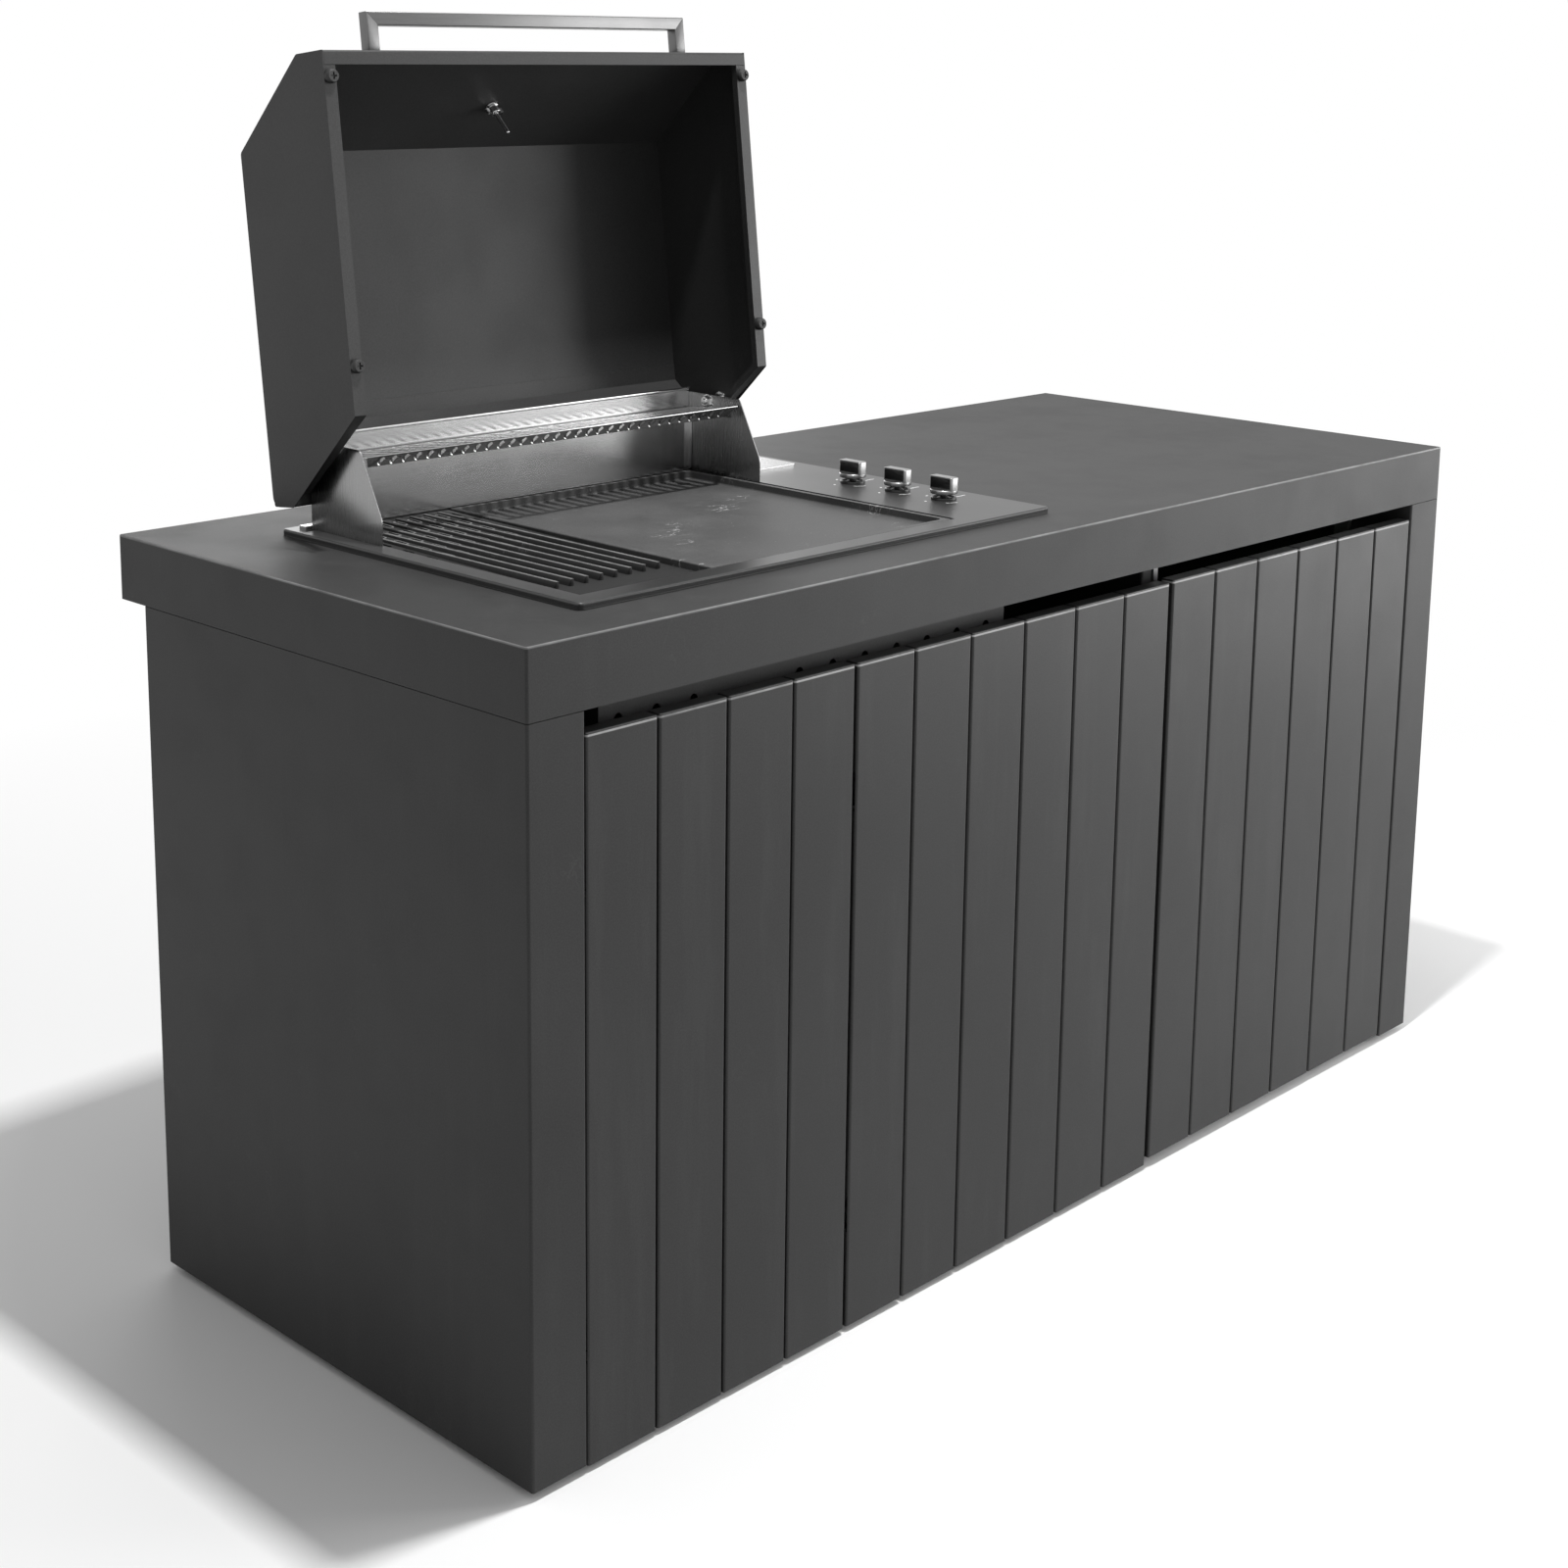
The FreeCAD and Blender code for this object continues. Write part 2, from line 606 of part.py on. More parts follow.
def door_rails(door):
    """Rear bars behind the battens: two square-tube rails and a stile on the free side."""
    y0, y1 = BOARD_DEPTH, BOARD_DEPTH + RAIL_DEPTH
    free_end = door.right - door.left - RAIL_FREE_END
    a, b = door.span(RAIL_HINGE_END, free_end)
    c, d = door.span(free_end - RAIL_HEIGHT, free_end)
    bars = [square_tube(a, y0, z, b, y1, z + RAIL_HEIGHT, True) for z in (RAIL_LOW, RAIL_HIGH)]
    bars.append(square_tube(c, y0, RAIL_LOW + RAIL_HEIGHT, d, y1, RAIL_HIGH, False))
    return Part.makeCompound(bars)


def door_leaves(door):
    """Hinge leaves in the batten: lugs above and below each notch, with their riveted pin."""
    leaves = []
    inset = BOARD_WALL + LUG_PLAY
    half = HINGE_NOTCH / 2
    a, b = door.span(inset, LUG_REACH)
    for z in HINGE_HEIGHTS:
        pin_foot = vec(door.pivot_x, PIVOT_DEEP, z - half - PIN_TAIL)
        pin = rod(pin_foot, Z, PIN_RADIUS, HINGE_NOTCH + 2 * PIN_TAIL)
        lugs = [box(a, inset, low, b, BOARD_DEPTH - inset, low + LUG) for low in (z - half - LUG, z + half)]
        leaves.append(joined([pin] + lugs))
    return Part.makeCompound(leaves)


def door_arms(door):
    """Cranked hinge arms: a plate on the bay wall, a bend, and a knuckle round the pin."""
    arms = []
    s = door.side
    wall = door.support_x
    x_pin = door.pivot_x
    x_arm = x_pin - s * ARM_SHEET / 2
    half = HINGE_NOTCH / 2 - KNUCKLE_PLAY
    crank_end = ARM_CRANK_Y - abs(x_pin - wall) * ARM_CRANK_SLOPE
    path = [(wall, ARM_BACK), (wall, ARM_CRANK_Y), (x_arm, crank_end), (x_arm, PIVOT_DEEP)]
    if s < 0:
        path = path[::-1]
    for z in HINGE_HEIGHTS:
        arm = folded(path, ARM_SHEET, ARM_BEND, on_xy(z - half), Z * (2 * half))
        screws = [rod(vec(wall - s * PAST, y, z + dz), X * s, ARM_SCREW_RADIUS, ARM_SHEET + 2 * PAST)
                  for y in ARM_SCREW_YS for dz in (-ARM_SCREW_RISE, ARM_SCREW_RISE)]
        knuckle = rod(vec(x_pin, PIVOT_DEEP, z - half), Z, KNUCKLE_RADIUS, 2 * half)
        bore = rod(vec(x_pin, PIVOT_DEEP, z - half - PAST), Z, PIN_RADIUS + RUNNING, 2 * (half + PAST))
        arms.append(arm.cut(screws).fuse(knuckle).cut(bore).removeSplitter())
    return Part.makeCompound(arms)

# Barbecue: frame, firebox, burners and gas

PRESSING = 1.6
HOB_CORNER_RADIUS = 7.0
HOB_EDGE_RADIUS = 2.5
SKIRT_PLAY = 3.0
WELL_GAP = 2.5
WELL_DEPTH = 30.0
PLATE_SEAT = 14.0
SEAT_WIDTH = 9.0
SPINDLE_HOLE_RADIUS = 7.5


def hob_frame():
    """Pressed drop-in frame: rolled edge, flat margin, plate well with a seat and a deck."""
    t = PRESSING
    outer = rounded_box(HOB_LEFT, HOB_FRONT, BENCH_HEIGHT, HOB_RIGHT, HOB_BACK, HOB_TOP, HOB_CORNER_RADIUS)
    outer = outer.makeFillet(HOB_EDGE_RADIUS, rim_at(outer, HOB_TOP))
    under = box(HOB_LEFT + t, HOB_FRONT + t, BENCH_HEIGHT - PAST, HOB_RIGHT - t, HOB_BACK - t, HOB_TOP - t)
    bottom = HOB_TOP - WELL_DEPTH
    skirt = sleeve(CUT_LEFT + SKIRT_PLAY, CUT_FRONT + SKIRT_PLAY, bottom,
                   CUT_RIGHT - SKIRT_PLAY, CUT_BACK - SKIRT_PLAY, HOB_TOP - t, t)
    x0, x1 = PLATES_LEFT - WELL_GAP, PLATES_RIGHT + WELL_GAP
    y0, y1 = PLATES_FRONT - WELL_GAP, PLATES_BACK + WELL_GAP
    well = sleeve(x0 - t, y0 - t, bottom, x1 + t, y1 + t, HOB_TOP - t, t)
    seat_top = HOB_TOP - PLATE_SEAT
    seat = sleeve(x0 - 0.1, y0 - 0.1, seat_top - t, x1 + 0.1, y1 + 0.1, seat_top, SEAT_WIDTH + 0.1)
    frame = joined([outer.cut(under), skirt, well, seat])
    opening = box(x0, y0, seat_top, x1, y1, HOB_TOP + PAST)
    holes = [rod(vec(KNOB_X, y, HOB_TOP - t - PAST), Z, SPINDLE_HOLE_RADIUS, t + 2 * PAST) for y in KNOB_YS]
    return frame.cut([opening] + holes)


BOX_INSET = 14.0
BOX_LEFT = PLATES_LEFT + BOX_INSET
BOX_RIGHT = PLATES_RIGHT - BOX_INSET
BOX_FRONT = PLATES_FRONT + BOX_INSET
BOX_BACK = PLATES_BACK - BOX_INSET
BOX_BOTTOM = 752.0
BOX_SHOULDER = BOX_BOTTOM + 55.0
BOX_TOP = HOB_TOP - PLATE_SEAT - 1.8
BOX_TAPER = 34.0
BOX_SHEET = 1.5
MOUTH_SIDE = 45.0
MOUTH_FRONT = 80.0
PORT_RADIUS = 13.0
BOX_VENT_Z = BOX_SHOULDER + 22.0
BOX_VENT_LENGTH = 60.0
BOX_VENT_RADIUS = 4.0
BOX_VENT_PITCH = 90.0
BOX_VENTS = 6


def firebox():
    """Sheet firebox under the plates: sloping lower walls, open top, and a mouth over the tray."""
    t = BOX_SHEET
    path = [(BOX_FRONT, BOX_TOP), (BOX_FRONT, BOX_SHOULDER), (BOX_FRONT + BOX_TAPER, BOX_BOTTOM),
            (BOX_BACK - BOX_TAPER, BOX_BOTTOM), (BOX_BACK, BOX_SHOULDER), (BOX_BACK, BOX_TOP)]
    wrap = folded(path, t, BEND, on_yz(BOX_LEFT), X * (BOX_RIGHT - BOX_LEFT))
    cheeks = [profile(path, [0, 1, 1, 1, 1, 0], on_yz(x), X * t) for x in (BOX_LEFT - t, BOX_RIGHT)]
    mouth = box(BOX_LEFT + MOUTH_SIDE, BOX_FRONT + MOUTH_FRONT, BOX_BOTTOM - PAST,
                BOX_RIGHT - MOUTH_SIDE, BOX_BACK - MOUTH_FRONT, BOX_BOTTOM + t + PAST)
    ports = [rod(vec(BOX_RIGHT - t - PAST, y, BURNER_Z), X, PORT_RADIUS, 2 * (t + PAST)) for y in BURNER_YS]
    vents = [slot((BOX_LEFT + BOX_VENT_LENGTH + k * BOX_VENT_PITCH, BOX_VENT_Z), BOX_VENT_LENGTH,
                  BOX_VENT_RADIUS, on_xz(BOX_FRONT - PAST), Y * (t + 2 * PAST)) for k in range(BOX_VENTS)]
    return joined([wrap] + cheeks).cut([mouth] + ports + vents)


BURNER_Z = 838.0
BURNER_YS = (KNOB_YS[0], KNOB_YS[1] + 40.0, KNOB_YS[2] + 90.0)
BURNER_START = BOX_LEFT + 30.0
BURNER_LENGTH = BOX_RIGHT + 34.0 - BURNER_START
BURNER_RADIUS = 17.0
BURNER_NECK_RADIUS = 11.0
BURNER_NECK = 62.0
BURNER_TAPER = 34.0
BURNER_BORE_RADIUS = 8.5
BURNER_BORE = 60.0
FLAME_PORT_RADIUS = 1.6
FLAME_PORT_FIRST = 24.0
FLAME_PORT_PITCH = 22.0
FLAME_PORTS = 19
FLAME_PORT_TURN = 35.0
AIR_SLOT = (46.0, 24.0)


def burners():
    """Three tube burners across the firebox, with pinched ends, port holes and a venturi inlet."""
    shapes = []
    end = BURNER_LENGTH
    half = [(0, 0), (14, 4), (BURNER_RADIUS, 20), (BURNER_RADIUS, end - BURNER_NECK - BURNER_TAPER),
            (BURNER_NECK_RADIUS, end - BURNER_NECK), (BURNER_NECK_RADIUS, end - 8), (15, end), (0, end)]
    tube = Part.Face(outline(half, [0, 3, 6, 12, 12, 2, 0, 0], lambda a, b: vec(b, 0, a)))
    tube = tube.revolve(vec(0, 0, 0), X, 360)
    turn = radians(FLAME_PORT_TURN)
    slant = vec(0, -sin(turn), cos(turn))
    holes = []
    for k in range(FLAME_PORTS):
        start = vec(FLAME_PORT_FIRST + k * FLAME_PORT_PITCH, 0, 0)
        holes.append(rod(start, slant, FLAME_PORT_RADIUS, BURNER_RADIUS + 5))
    holes.append(box(end - AIR_SLOT[0], -BURNER_RADIUS, -SHEET, end - AIR_SLOT[1], BURNER_RADIUS, SHEET))
    holes.append(rod(vec(end - BURNER_BORE, 0, 0), X, BURNER_BORE_RADIUS, BURNER_BORE + PAST))
    for y in BURNER_YS:
        burner = tube.cut(holes)
        burner.translate(vec(BURNER_START, y, BURNER_Z))
        shapes.append(burner)
    return Part.makeCompound(shapes)


VALVE_TOP = HOB_TOP - 9.0
VALVE_BODY = 34.0
VALVE_RADIUS = 13.0
VALVE_FLANGE = (18.0, 13.0, 5.0)
VALVE_FOOT_RADIUS = 7.0
OUTLET_REACH = 24.0
OUTLET_RADIUS = 6.0
OUTLET_Z = VALVE_TOP - VALVE_BODY + 9.0
STEM_RADIUS = 4.0
PLUG_RADIUS = 6.0
PLUG_BORE = 28.0
MANIFOLD_Z = VALVE_TOP - VALVE_BODY - 12.0
MANIFOLD_RADIUS = 8.0
MANIFOLD_BORE_RADIUS = 5.2


def valve_bodies():
    """Brass taps below the deck, each with its bonnet, bore for the plug and outlet jet."""
    shapes = []
    half_x, half_y, height = VALVE_FLANGE
    bottom = VALVE_TOP - VALVE_BODY
    for y in KNOB_YS:
        body = rod(vec(KNOB_X, y, bottom), Z, VALVE_RADIUS, VALVE_BODY)
        flange = rounded_box(KNOB_X - half_x, y - half_y, VALVE_TOP - height, KNOB_X + half_x, y + half_y,
                             VALVE_TOP, 4)
        foot_z = MANIFOLD_Z + MANIFOLD_RADIUS - 1
        foot = rod(vec(KNOB_X, y, foot_z), Z, VALVE_FOOT_RADIUS, bottom - foot_z + 1)
        outlet = rod(vec(KNOB_X - OUTLET_REACH, y, OUTLET_Z), X, OUTLET_RADIUS, OUTLET_REACH - STEM_RADIUS)
        bore = rod(vec(KNOB_X, y, VALVE_TOP - PLUG_BORE), Z, PLUG_RADIUS + RUNNING, PLUG_BORE + PAST)
        saddle = rod(vec(KNOB_X, y - VALVE_RADIUS, MANIFOLD_Z), Y, MANIFOLD_RADIUS + 0.02, 2 * VALVE_RADIUS)
        shapes.append(joined([body, flange, foot, outlet]).cut([bore, saddle]))
    return Part.makeCompound(shapes)


MANIFOLD_FRONT = KNOB_YS[0] - 40.0
MANIFOLD_BACK = KNOB_YS[2] + 120.0
INLET_RADIUS = 7.9
INLET_LENGTH = 18.0
HEXAGON_RADIUS = 13.0
HEXAGON_LENGTH = 14.0


def gas_manifold():
    """Supply pipe under the taps, capped at the front, with a turned inlet nose at the back."""
    length = MANIFOLD_BACK - MANIFOLD_FRONT
    pipe = rod(vec(KNOB_X, MANIFOLD_FRONT, MANIFOLD_Z), Y, MANIFOLD_RADIUS, length)
    cap = rod(vec(KNOB_X, MANIFOLD_FRONT - 6, MANIFOLD_Z), Y, MANIFOLD_RADIUS + 2, 12)
    corners = []
    for k in range(6):
        turn = radians(60 * k)
        corners.append((KNOB_X + HEXAGON_RADIUS * cos(turn), MANIFOLD_Z + HEXAGON_RADIUS * sin(turn)))
    hexagon = profile(corners, 0, on_xz(MANIFOLD_BACK - 1), Y * HEXAGON_LENGTH)
    nose = rod(vec(KNOB_X, MANIFOLD_BACK + HEXAGON_LENGTH - 2, MANIFOLD_Z), Y, INLET_RADIUS, INLET_LENGTH)
    bore = rod(vec(KNOB_X, MANIFOLD_FRONT + 10, MANIFOLD_Z), Y, MANIFOLD_BORE_RADIUS, length + 30)
    return joined([pipe, cap, hexagon, nose]).cut(bore)


TUBE_RADIUS = 3.0
TUBE_DROP_X = BOX_RIGHT + 52.0
TUBE_END_X = BOX_RIGHT + 40.0


def supply_tubes():
    """Bent tubes that lead gas from each tap to its burner inlet."""
    shapes = []
    for y, burner_y in zip(KNOB_YS, BURNER_YS):
        bends = [vec(KNOB_X - OUTLET_REACH, y, OUTLET_Z), vec(TUBE_DROP_X, y, OUTLET_Z),
                 vec(TUBE_DROP_X, burner_y + 0.5, BURNER_Z + 2), vec(TUBE_END_X, burner_y, BURNER_Z)]
        shapes.append(bent_bar(bends, TUBE_RADIUS))
    return Part.makeCompound(shapes)


def bent_bar(points, radius):
    """Round bar along straight runs, a ball at each bend."""
    runs = [rod(a, b.sub(a), radius, b.sub(a).Length) for a, b in zip(points, points[1:])]
    return joined(runs + [Part.makeSphere(radius, p) for p in points[1:-1]])


BEZEL_RADIUS = 15.0
BEZEL_LIP_RADIUS = 10.5
BEZEL_BORE_RADIUS = 6.5
BEZEL_EDGE = 2.0
BEZEL_HEIGHT = 3.2


def knob_bezels():
    """Black rings on the deck round each spindle, with a sloping and rounded lip."""
    shapes = []
    half = [(BEZEL_BORE_RADIUS, 0), (BEZEL_RADIUS, 0), (BEZEL_RADIUS, BEZEL_EDGE),
            (BEZEL_LIP_RADIUS, BEZEL_HEIGHT), (BEZEL_BORE_RADIUS, BEZEL_HEIGHT)]
    for y in KNOB_YS:
        ring = turned(half, [0, 0.6, 1, 0.6, 0])
        ring.translate(vec(KNOB_X, y, HOB_TOP))
        shapes.append(ring)
    return Part.makeCompound(shapes)


PLUG_FOOT = VALVE_TOP - 27.0
PLUG_TOP = VALVE_TOP - 2.0
PLUG_SOCKET_Z = VALVE_TOP - 20.0
PLUG_PORT_Z = VALVE_TOP - 24.0
PLUG_PORT_RADIUS = 1.6
PUSH = 3.0
SPINDLE_FOOT = PLUG_SOCKET_Z + PUSH + 0.6
KNOB_FLOOR = HOB_TOP + 8.0
KNOB_SOCKET = 12.0
COLLAR_RADIUS = 16.5
COLLAR_HEIGHT = 5.5
GRIP_TOP = 19.0
GRIP_HALF_WIDTH = 6.0
GRIP_HALF_LENGTH = 16.0
FLAT_SHARE = 0.62


def flatted_rod(y, z0, z1, radius):
    """Round bar with one flat along its whole length."""
    bar = rod(vec(KNOB_X, y, z0), Z, radius, z1 - z0)
    return bar.cut(box(KNOB_X + radius * FLAT_SHARE, y - 2 * radius, z0 - PAST,
                       KNOB_X + 2 * radius, y + 2 * radius, z1 + PAST))


def valve_plug(y):
    """Turning plug inside a tap, with a socket with one flat for the spindle and a cross port."""
    plug = rod(vec(KNOB_X, y, PLUG_FOOT), Z, PLUG_RADIUS, PLUG_TOP - PLUG_FOOT)
    socket = flatted_rod(y, PLUG_SOCKET_Z, PLUG_TOP + PAST, STEM_RADIUS + RUNNING)
    reach = PLUG_RADIUS + PAST
    port = rod(vec(KNOB_X - reach, y, PLUG_PORT_Z), X, PLUG_PORT_RADIUS, 2 * reach)
    return plug.cut([socket, port])


def spindle(y):
    """Flatted spindle from the plug's socket up through the bezel into the knob."""
    return flatted_rod(y, SPINDLE_FOOT, KNOB_FLOOR + KNOB_SOCKET - 0.5, STEM_RADIUS)


def knob(y):
    """Turned collar with a straight grip bar across it and a socket for the spindle."""
    r, h = COLLAR_RADIUS, COLLAR_HEIGHT
    half = [(0, 0), (r - 1.5, 0), (r, 1.5), (r, h - 1.5), (r - 2, h), (0, h)]
    collar = turned(half, [0, 0.6, 0.6, 0.6, 0.6, 0])
    grip = rounded_box(-GRIP_HALF_WIDTH, -GRIP_HALF_LENGTH, h - 0.5, GRIP_HALF_WIDTH, GRIP_HALF_LENGTH,
                       GRIP_TOP, 2.2)
    grip = grip.makeFillet(1.0, rim_at(grip, GRIP_TOP))
    body = joined([collar, grip])
    body.translate(vec(KNOB_X, y, KNOB_FLOOR))
    return body.cut(flatted_rod(y, KNOB_FLOOR - PAST, KNOB_FLOOR + KNOB_SOCKET, STEM_RADIUS))


# Barbecue: cooking plates, tray, backsplash, brackets and rack

GRILL_LEFT = PLATES_LEFT
GRILL_RIGHT = PLATES_LEFT + GRILL_WIDTH
HOT_LEFT = GRILL_RIGHT + 2.0
HOT_RIGHT = PLATES_RIGHT
PLATE_TOP = HOB_TOP
PLATE_UNDER = HOB_TOP - PLATE_SEAT
RIBS = 8
RIB_FOOT = 7.6
RIB_CROWN = 3.4
RIB_FRONT = 170.0
RIB_BACK = PLATES_BACK - 9.0
GRILL_FLOOR_FRONT = PLATE_TOP - 8.0
GRILL_FLOOR_BACK = PLATE_TOP - 1.8
SLOT_LENGTH = 20.0
SLOT_WIDTH = 4.4
SLOT_PITCH = 42.0
SLOT_LAST = 540.0
SLOT_ROWS = 9


def grill_floor():
    """Cast floor: level at the front, then rising gently to the back so that fat runs forwards."""
    points = [(PLATES_FRONT, PLATE_UNDER), (PLATES_BACK, PLATE_UNDER), (PLATES_BACK, GRILL_FLOOR_BACK),
              (RIB_BACK, GRILL_FLOOR_BACK), (RIB_FRONT, GRILL_FLOOR_FRONT), (PLATES_FRONT, GRILL_FLOOR_FRONT)]
    slab = profile(points, [0, 0, 1.5, 0, 0, 1.5], on_yz(GRILL_LEFT), X * GRILL_WIDTH)
    return slab.common(rounded_box(GRILL_LEFT, PLATES_FRONT, PLATE_UNDER - PAST, GRILL_RIGHT, PLATES_BACK,
                                   PLATE_TOP, 3))


def grill_rib(x):
    """One bar of the grill: tapered to a narrow crown, with rounded ends."""
    low = PLATE_UNDER + 2
    drop = PLATE_TOP - low
    foot = RIB_CROWN + (RIB_FOOT - RIB_CROWN) * drop / (PLATE_TOP - GRILL_FLOOR_FRONT)
    points = [(x - foot / 2, low), (x + foot / 2, low), (x + RIB_CROWN / 2, PLATE_TOP),
              (x - RIB_CROWN / 2, PLATE_TOP)]
    bar = profile(points, [0, 0, 0.8, 0.8], on_xz(RIB_FRONT), Y * (RIB_BACK - RIB_FRONT))
    plan = rounded_box(x - RIB_FOOT / 2, RIB_FRONT, low - PAST, x + RIB_FOOT / 2, RIB_BACK, PLATE_TOP + PAST,
                       3.4)
    return bar.common(plan)


def grill_plate():
    """Cast grill: eight standing ribs on a sloping floor, with rows of slots between them."""
    first = (GRILL_LEFT + GRILL_RIGHT) / 2 - (RIBS - 1) / 2 * RIB_PITCH
    plate = grill_floor().fuse([grill_rib(first + k * RIB_PITCH) for k in range(RIBS)])
    cutters = []
    for k in range(RIBS + 1):
        x = first + (k - 0.5) * RIB_PITCH
        for row in range(SLOT_ROWS):
            y = SLOT_LAST - row * SLOT_PITCH
            cutters.append(rounded_box(x - SLOT_WIDTH / 2, y - SLOT_LENGTH / 2, PLATE_UNDER - PAST,
                                       x + SLOT_WIDTH / 2, y + SLOT_LENGTH / 2, PLATE_TOP + PAST, 2))
    return plate.cut(Part.makeCompound(cutters))


HOT_FLOOR = HOB_TOP - 10.5
HOT_CROWN = HOB_TOP - 0.5
HOT_RIM = 8.0
DRAIN_RADIUS = 9.0
DRAIN_X = HOT_RIGHT - 40.0
DRAIN_Y = PLATES_BACK - 32.0


def hot_plate():
    """Cast hot plate: raised rounded rim round a flat cooking floor, with a drain hole at the back."""
    outer = rounded_box(HOT_LEFT, PLATES_FRONT, PLATE_UNDER, HOT_RIGHT, PLATES_BACK, HOT_CROWN, 4)
    outer = outer.makeFillet(1.5, rim_at(outer, HOT_CROWN))
    r = HOT_RIM
    inner = rounded_box(HOT_LEFT + r, PLATES_FRONT + r, HOT_FLOOR, HOT_RIGHT - r, PLATES_BACK - r,
                        HOB_TOP + PAST, r)
    inner = inner.makeFillet(2.5, rim_at(inner, HOT_FLOOR))
    drain = rod(vec(DRAIN_X, DRAIN_Y, PLATE_UNDER - PAST), Z, DRAIN_RADIUS, PLATE_SEAT)
    return outer.cut([inner, drain])


TRAY_SIDE = 28.0
TRAY_END = 62.0
TRAY_LEFT = BOX_LEFT + TRAY_SIDE
TRAY_RIGHT = BOX_RIGHT - TRAY_SIDE
TRAY_FRONT = BOX_FRONT + TRAY_END
TRAY_BACK = BOX_BACK - TRAY_END
TRAY_Z = 722.0
TRAY_TOP = TRAY_Z + 22.0
TRAY_SHEET = 1.2
TRAY_RADIUS = 12.0
TRAY_LIP = 10.0
PULL_HALF = 60.0
PULL_REACH = 14.0


def drip_tray():
    """Shallow catch tray with rounded corners, side lips that ride on the runners, and a pull."""
    t = TRAY_SHEET
    outer = rounded_box(TRAY_LEFT, TRAY_FRONT, TRAY_Z, TRAY_RIGHT, TRAY_BACK, TRAY_TOP, TRAY_RADIUS)
    inner = rounded_box(TRAY_LEFT + t, TRAY_FRONT + t, TRAY_Z + t, TRAY_RIGHT - t, TRAY_BACK - t,
                        TRAY_TOP + PAST, TRAY_RADIUS - t)
    lips = rounded_box(TRAY_LEFT - TRAY_LIP, TRAY_FRONT, TRAY_TOP - t, TRAY_RIGHT + TRAY_LIP, TRAY_BACK,
                       TRAY_TOP, 4)
    middle = (TRAY_LEFT + TRAY_RIGHT) / 2
    pull = box(middle - PULL_HALF, TRAY_FRONT - PULL_REACH, TRAY_TOP - t, middle + PULL_HALF, TRAY_FRONT + 1,
               TRAY_TOP)
    return joined([outer, lips, pull]).cut(inner)


RUNNER_SHEET = 1.5
RUNNER_FLANGE = 12.0
RUNNER_LEDGE = 10.5
RUNNER_LEDGE_Z = TRAY_TOP - 3.4
RUNNER_END = 6.0


def tray_runners():
    """Z-shaped runners hung from the firebox floor on both sides of the tray."""
    shapes = []
    for s, x in ((1, TRAY_LEFT - RUNNER_FLANGE), (-1, TRAY_RIGHT + RUNNER_FLANGE)):
        path = [(x - s * RUNNER_FLANGE, BOX_BOTTOM - 0.2), (x, BOX_BOTTOM - 0.2), (x, RUNNER_LEDGE_Z),
                (x + s * RUNNER_LEDGE, RUNNER_LEDGE_Z)]
        shapes.append(folded(path[::-s], RUNNER_SHEET, 0.8, on_xz(TRAY_FRONT + RUNNER_END),
                             Y * (TRAY_BACK - TRAY_FRONT - 2 * RUNNER_END)))
    return Part.makeCompound(shapes)


PLATE_METAL = 1.5
PLATE_FIT = 0.2
HEM_RADIUS = 2.0
CHEEK_BACK = BACKSPLASH_Y + PLATE_METAL


def backsplash():
    """Upright stainless sheet behind the plates, hemmed along its top."""
    x0, x1 = BRACKET_LEFT + PLATE_METAL + PLATE_FIT, BRACKET_RIGHT - PLATE_METAL - PLATE_FIT
    sheet = box(x0, BACKSPLASH_Y, HOB_TOP + PLATE_FIT, x1, CHEEK_BACK, BACKSPLASH_TOP)
    hem = rod(vec(x0, BACKSPLASH_Y - 0.6, BACKSPLASH_TOP - 1.2), X, HEM_RADIUS, x1 - x0)
    return joined([sheet, hem])


BASE_PLATE_HEIGHT = 4.0
BASE_PLATE_LEFT = 150.0
BASE_PLATE_RIGHT = HOB_RIGHT - 25.0
BASE_PLATE_BACK = HOB_BACK - 14.0
BASE_PLATE_CORNER_Y = 492.0


def rear_base_plate():
    """Low stainless plate behind the backsplash that widens into the corner by the controls."""
    inner_x = BRACKET_RIGHT + 0.6
    inner_y = CHEEK_BACK + 0.3
    top = HOB_TOP + BASE_PLATE_HEIGHT
    points = [(BASE_PLATE_LEFT, inner_y), (inner_x, inner_y), (inner_x, BASE_PLATE_CORNER_Y),
              (BASE_PLATE_RIGHT, BASE_PLATE_CORNER_Y), (BASE_PLATE_RIGHT, BASE_PLATE_BACK),
              (BASE_PLATE_LEFT, BASE_PLATE_BACK)]
    plate = profile(points, [2, 0, 2, 5, 5, 2], on_xy(HOB_TOP), Z * BASE_PLATE_HEIGHT)
    return plate.makeFillet(0.8, rim_at(plate, top))


CHEEK_FRONT = 441.0
CHEEK_RAKE_START = HOB_TOP + 29.1
CHEEK_TOP_FRONT = 480.0
CHEEK_TOP = 1023.0
TAB_Z = RACK_SHELF_Z - 1.6
TAB_REACH = 14.0
TAB_DROP = 16.0
TABS = ((494.0, 18.0), (549.5, 10.0))


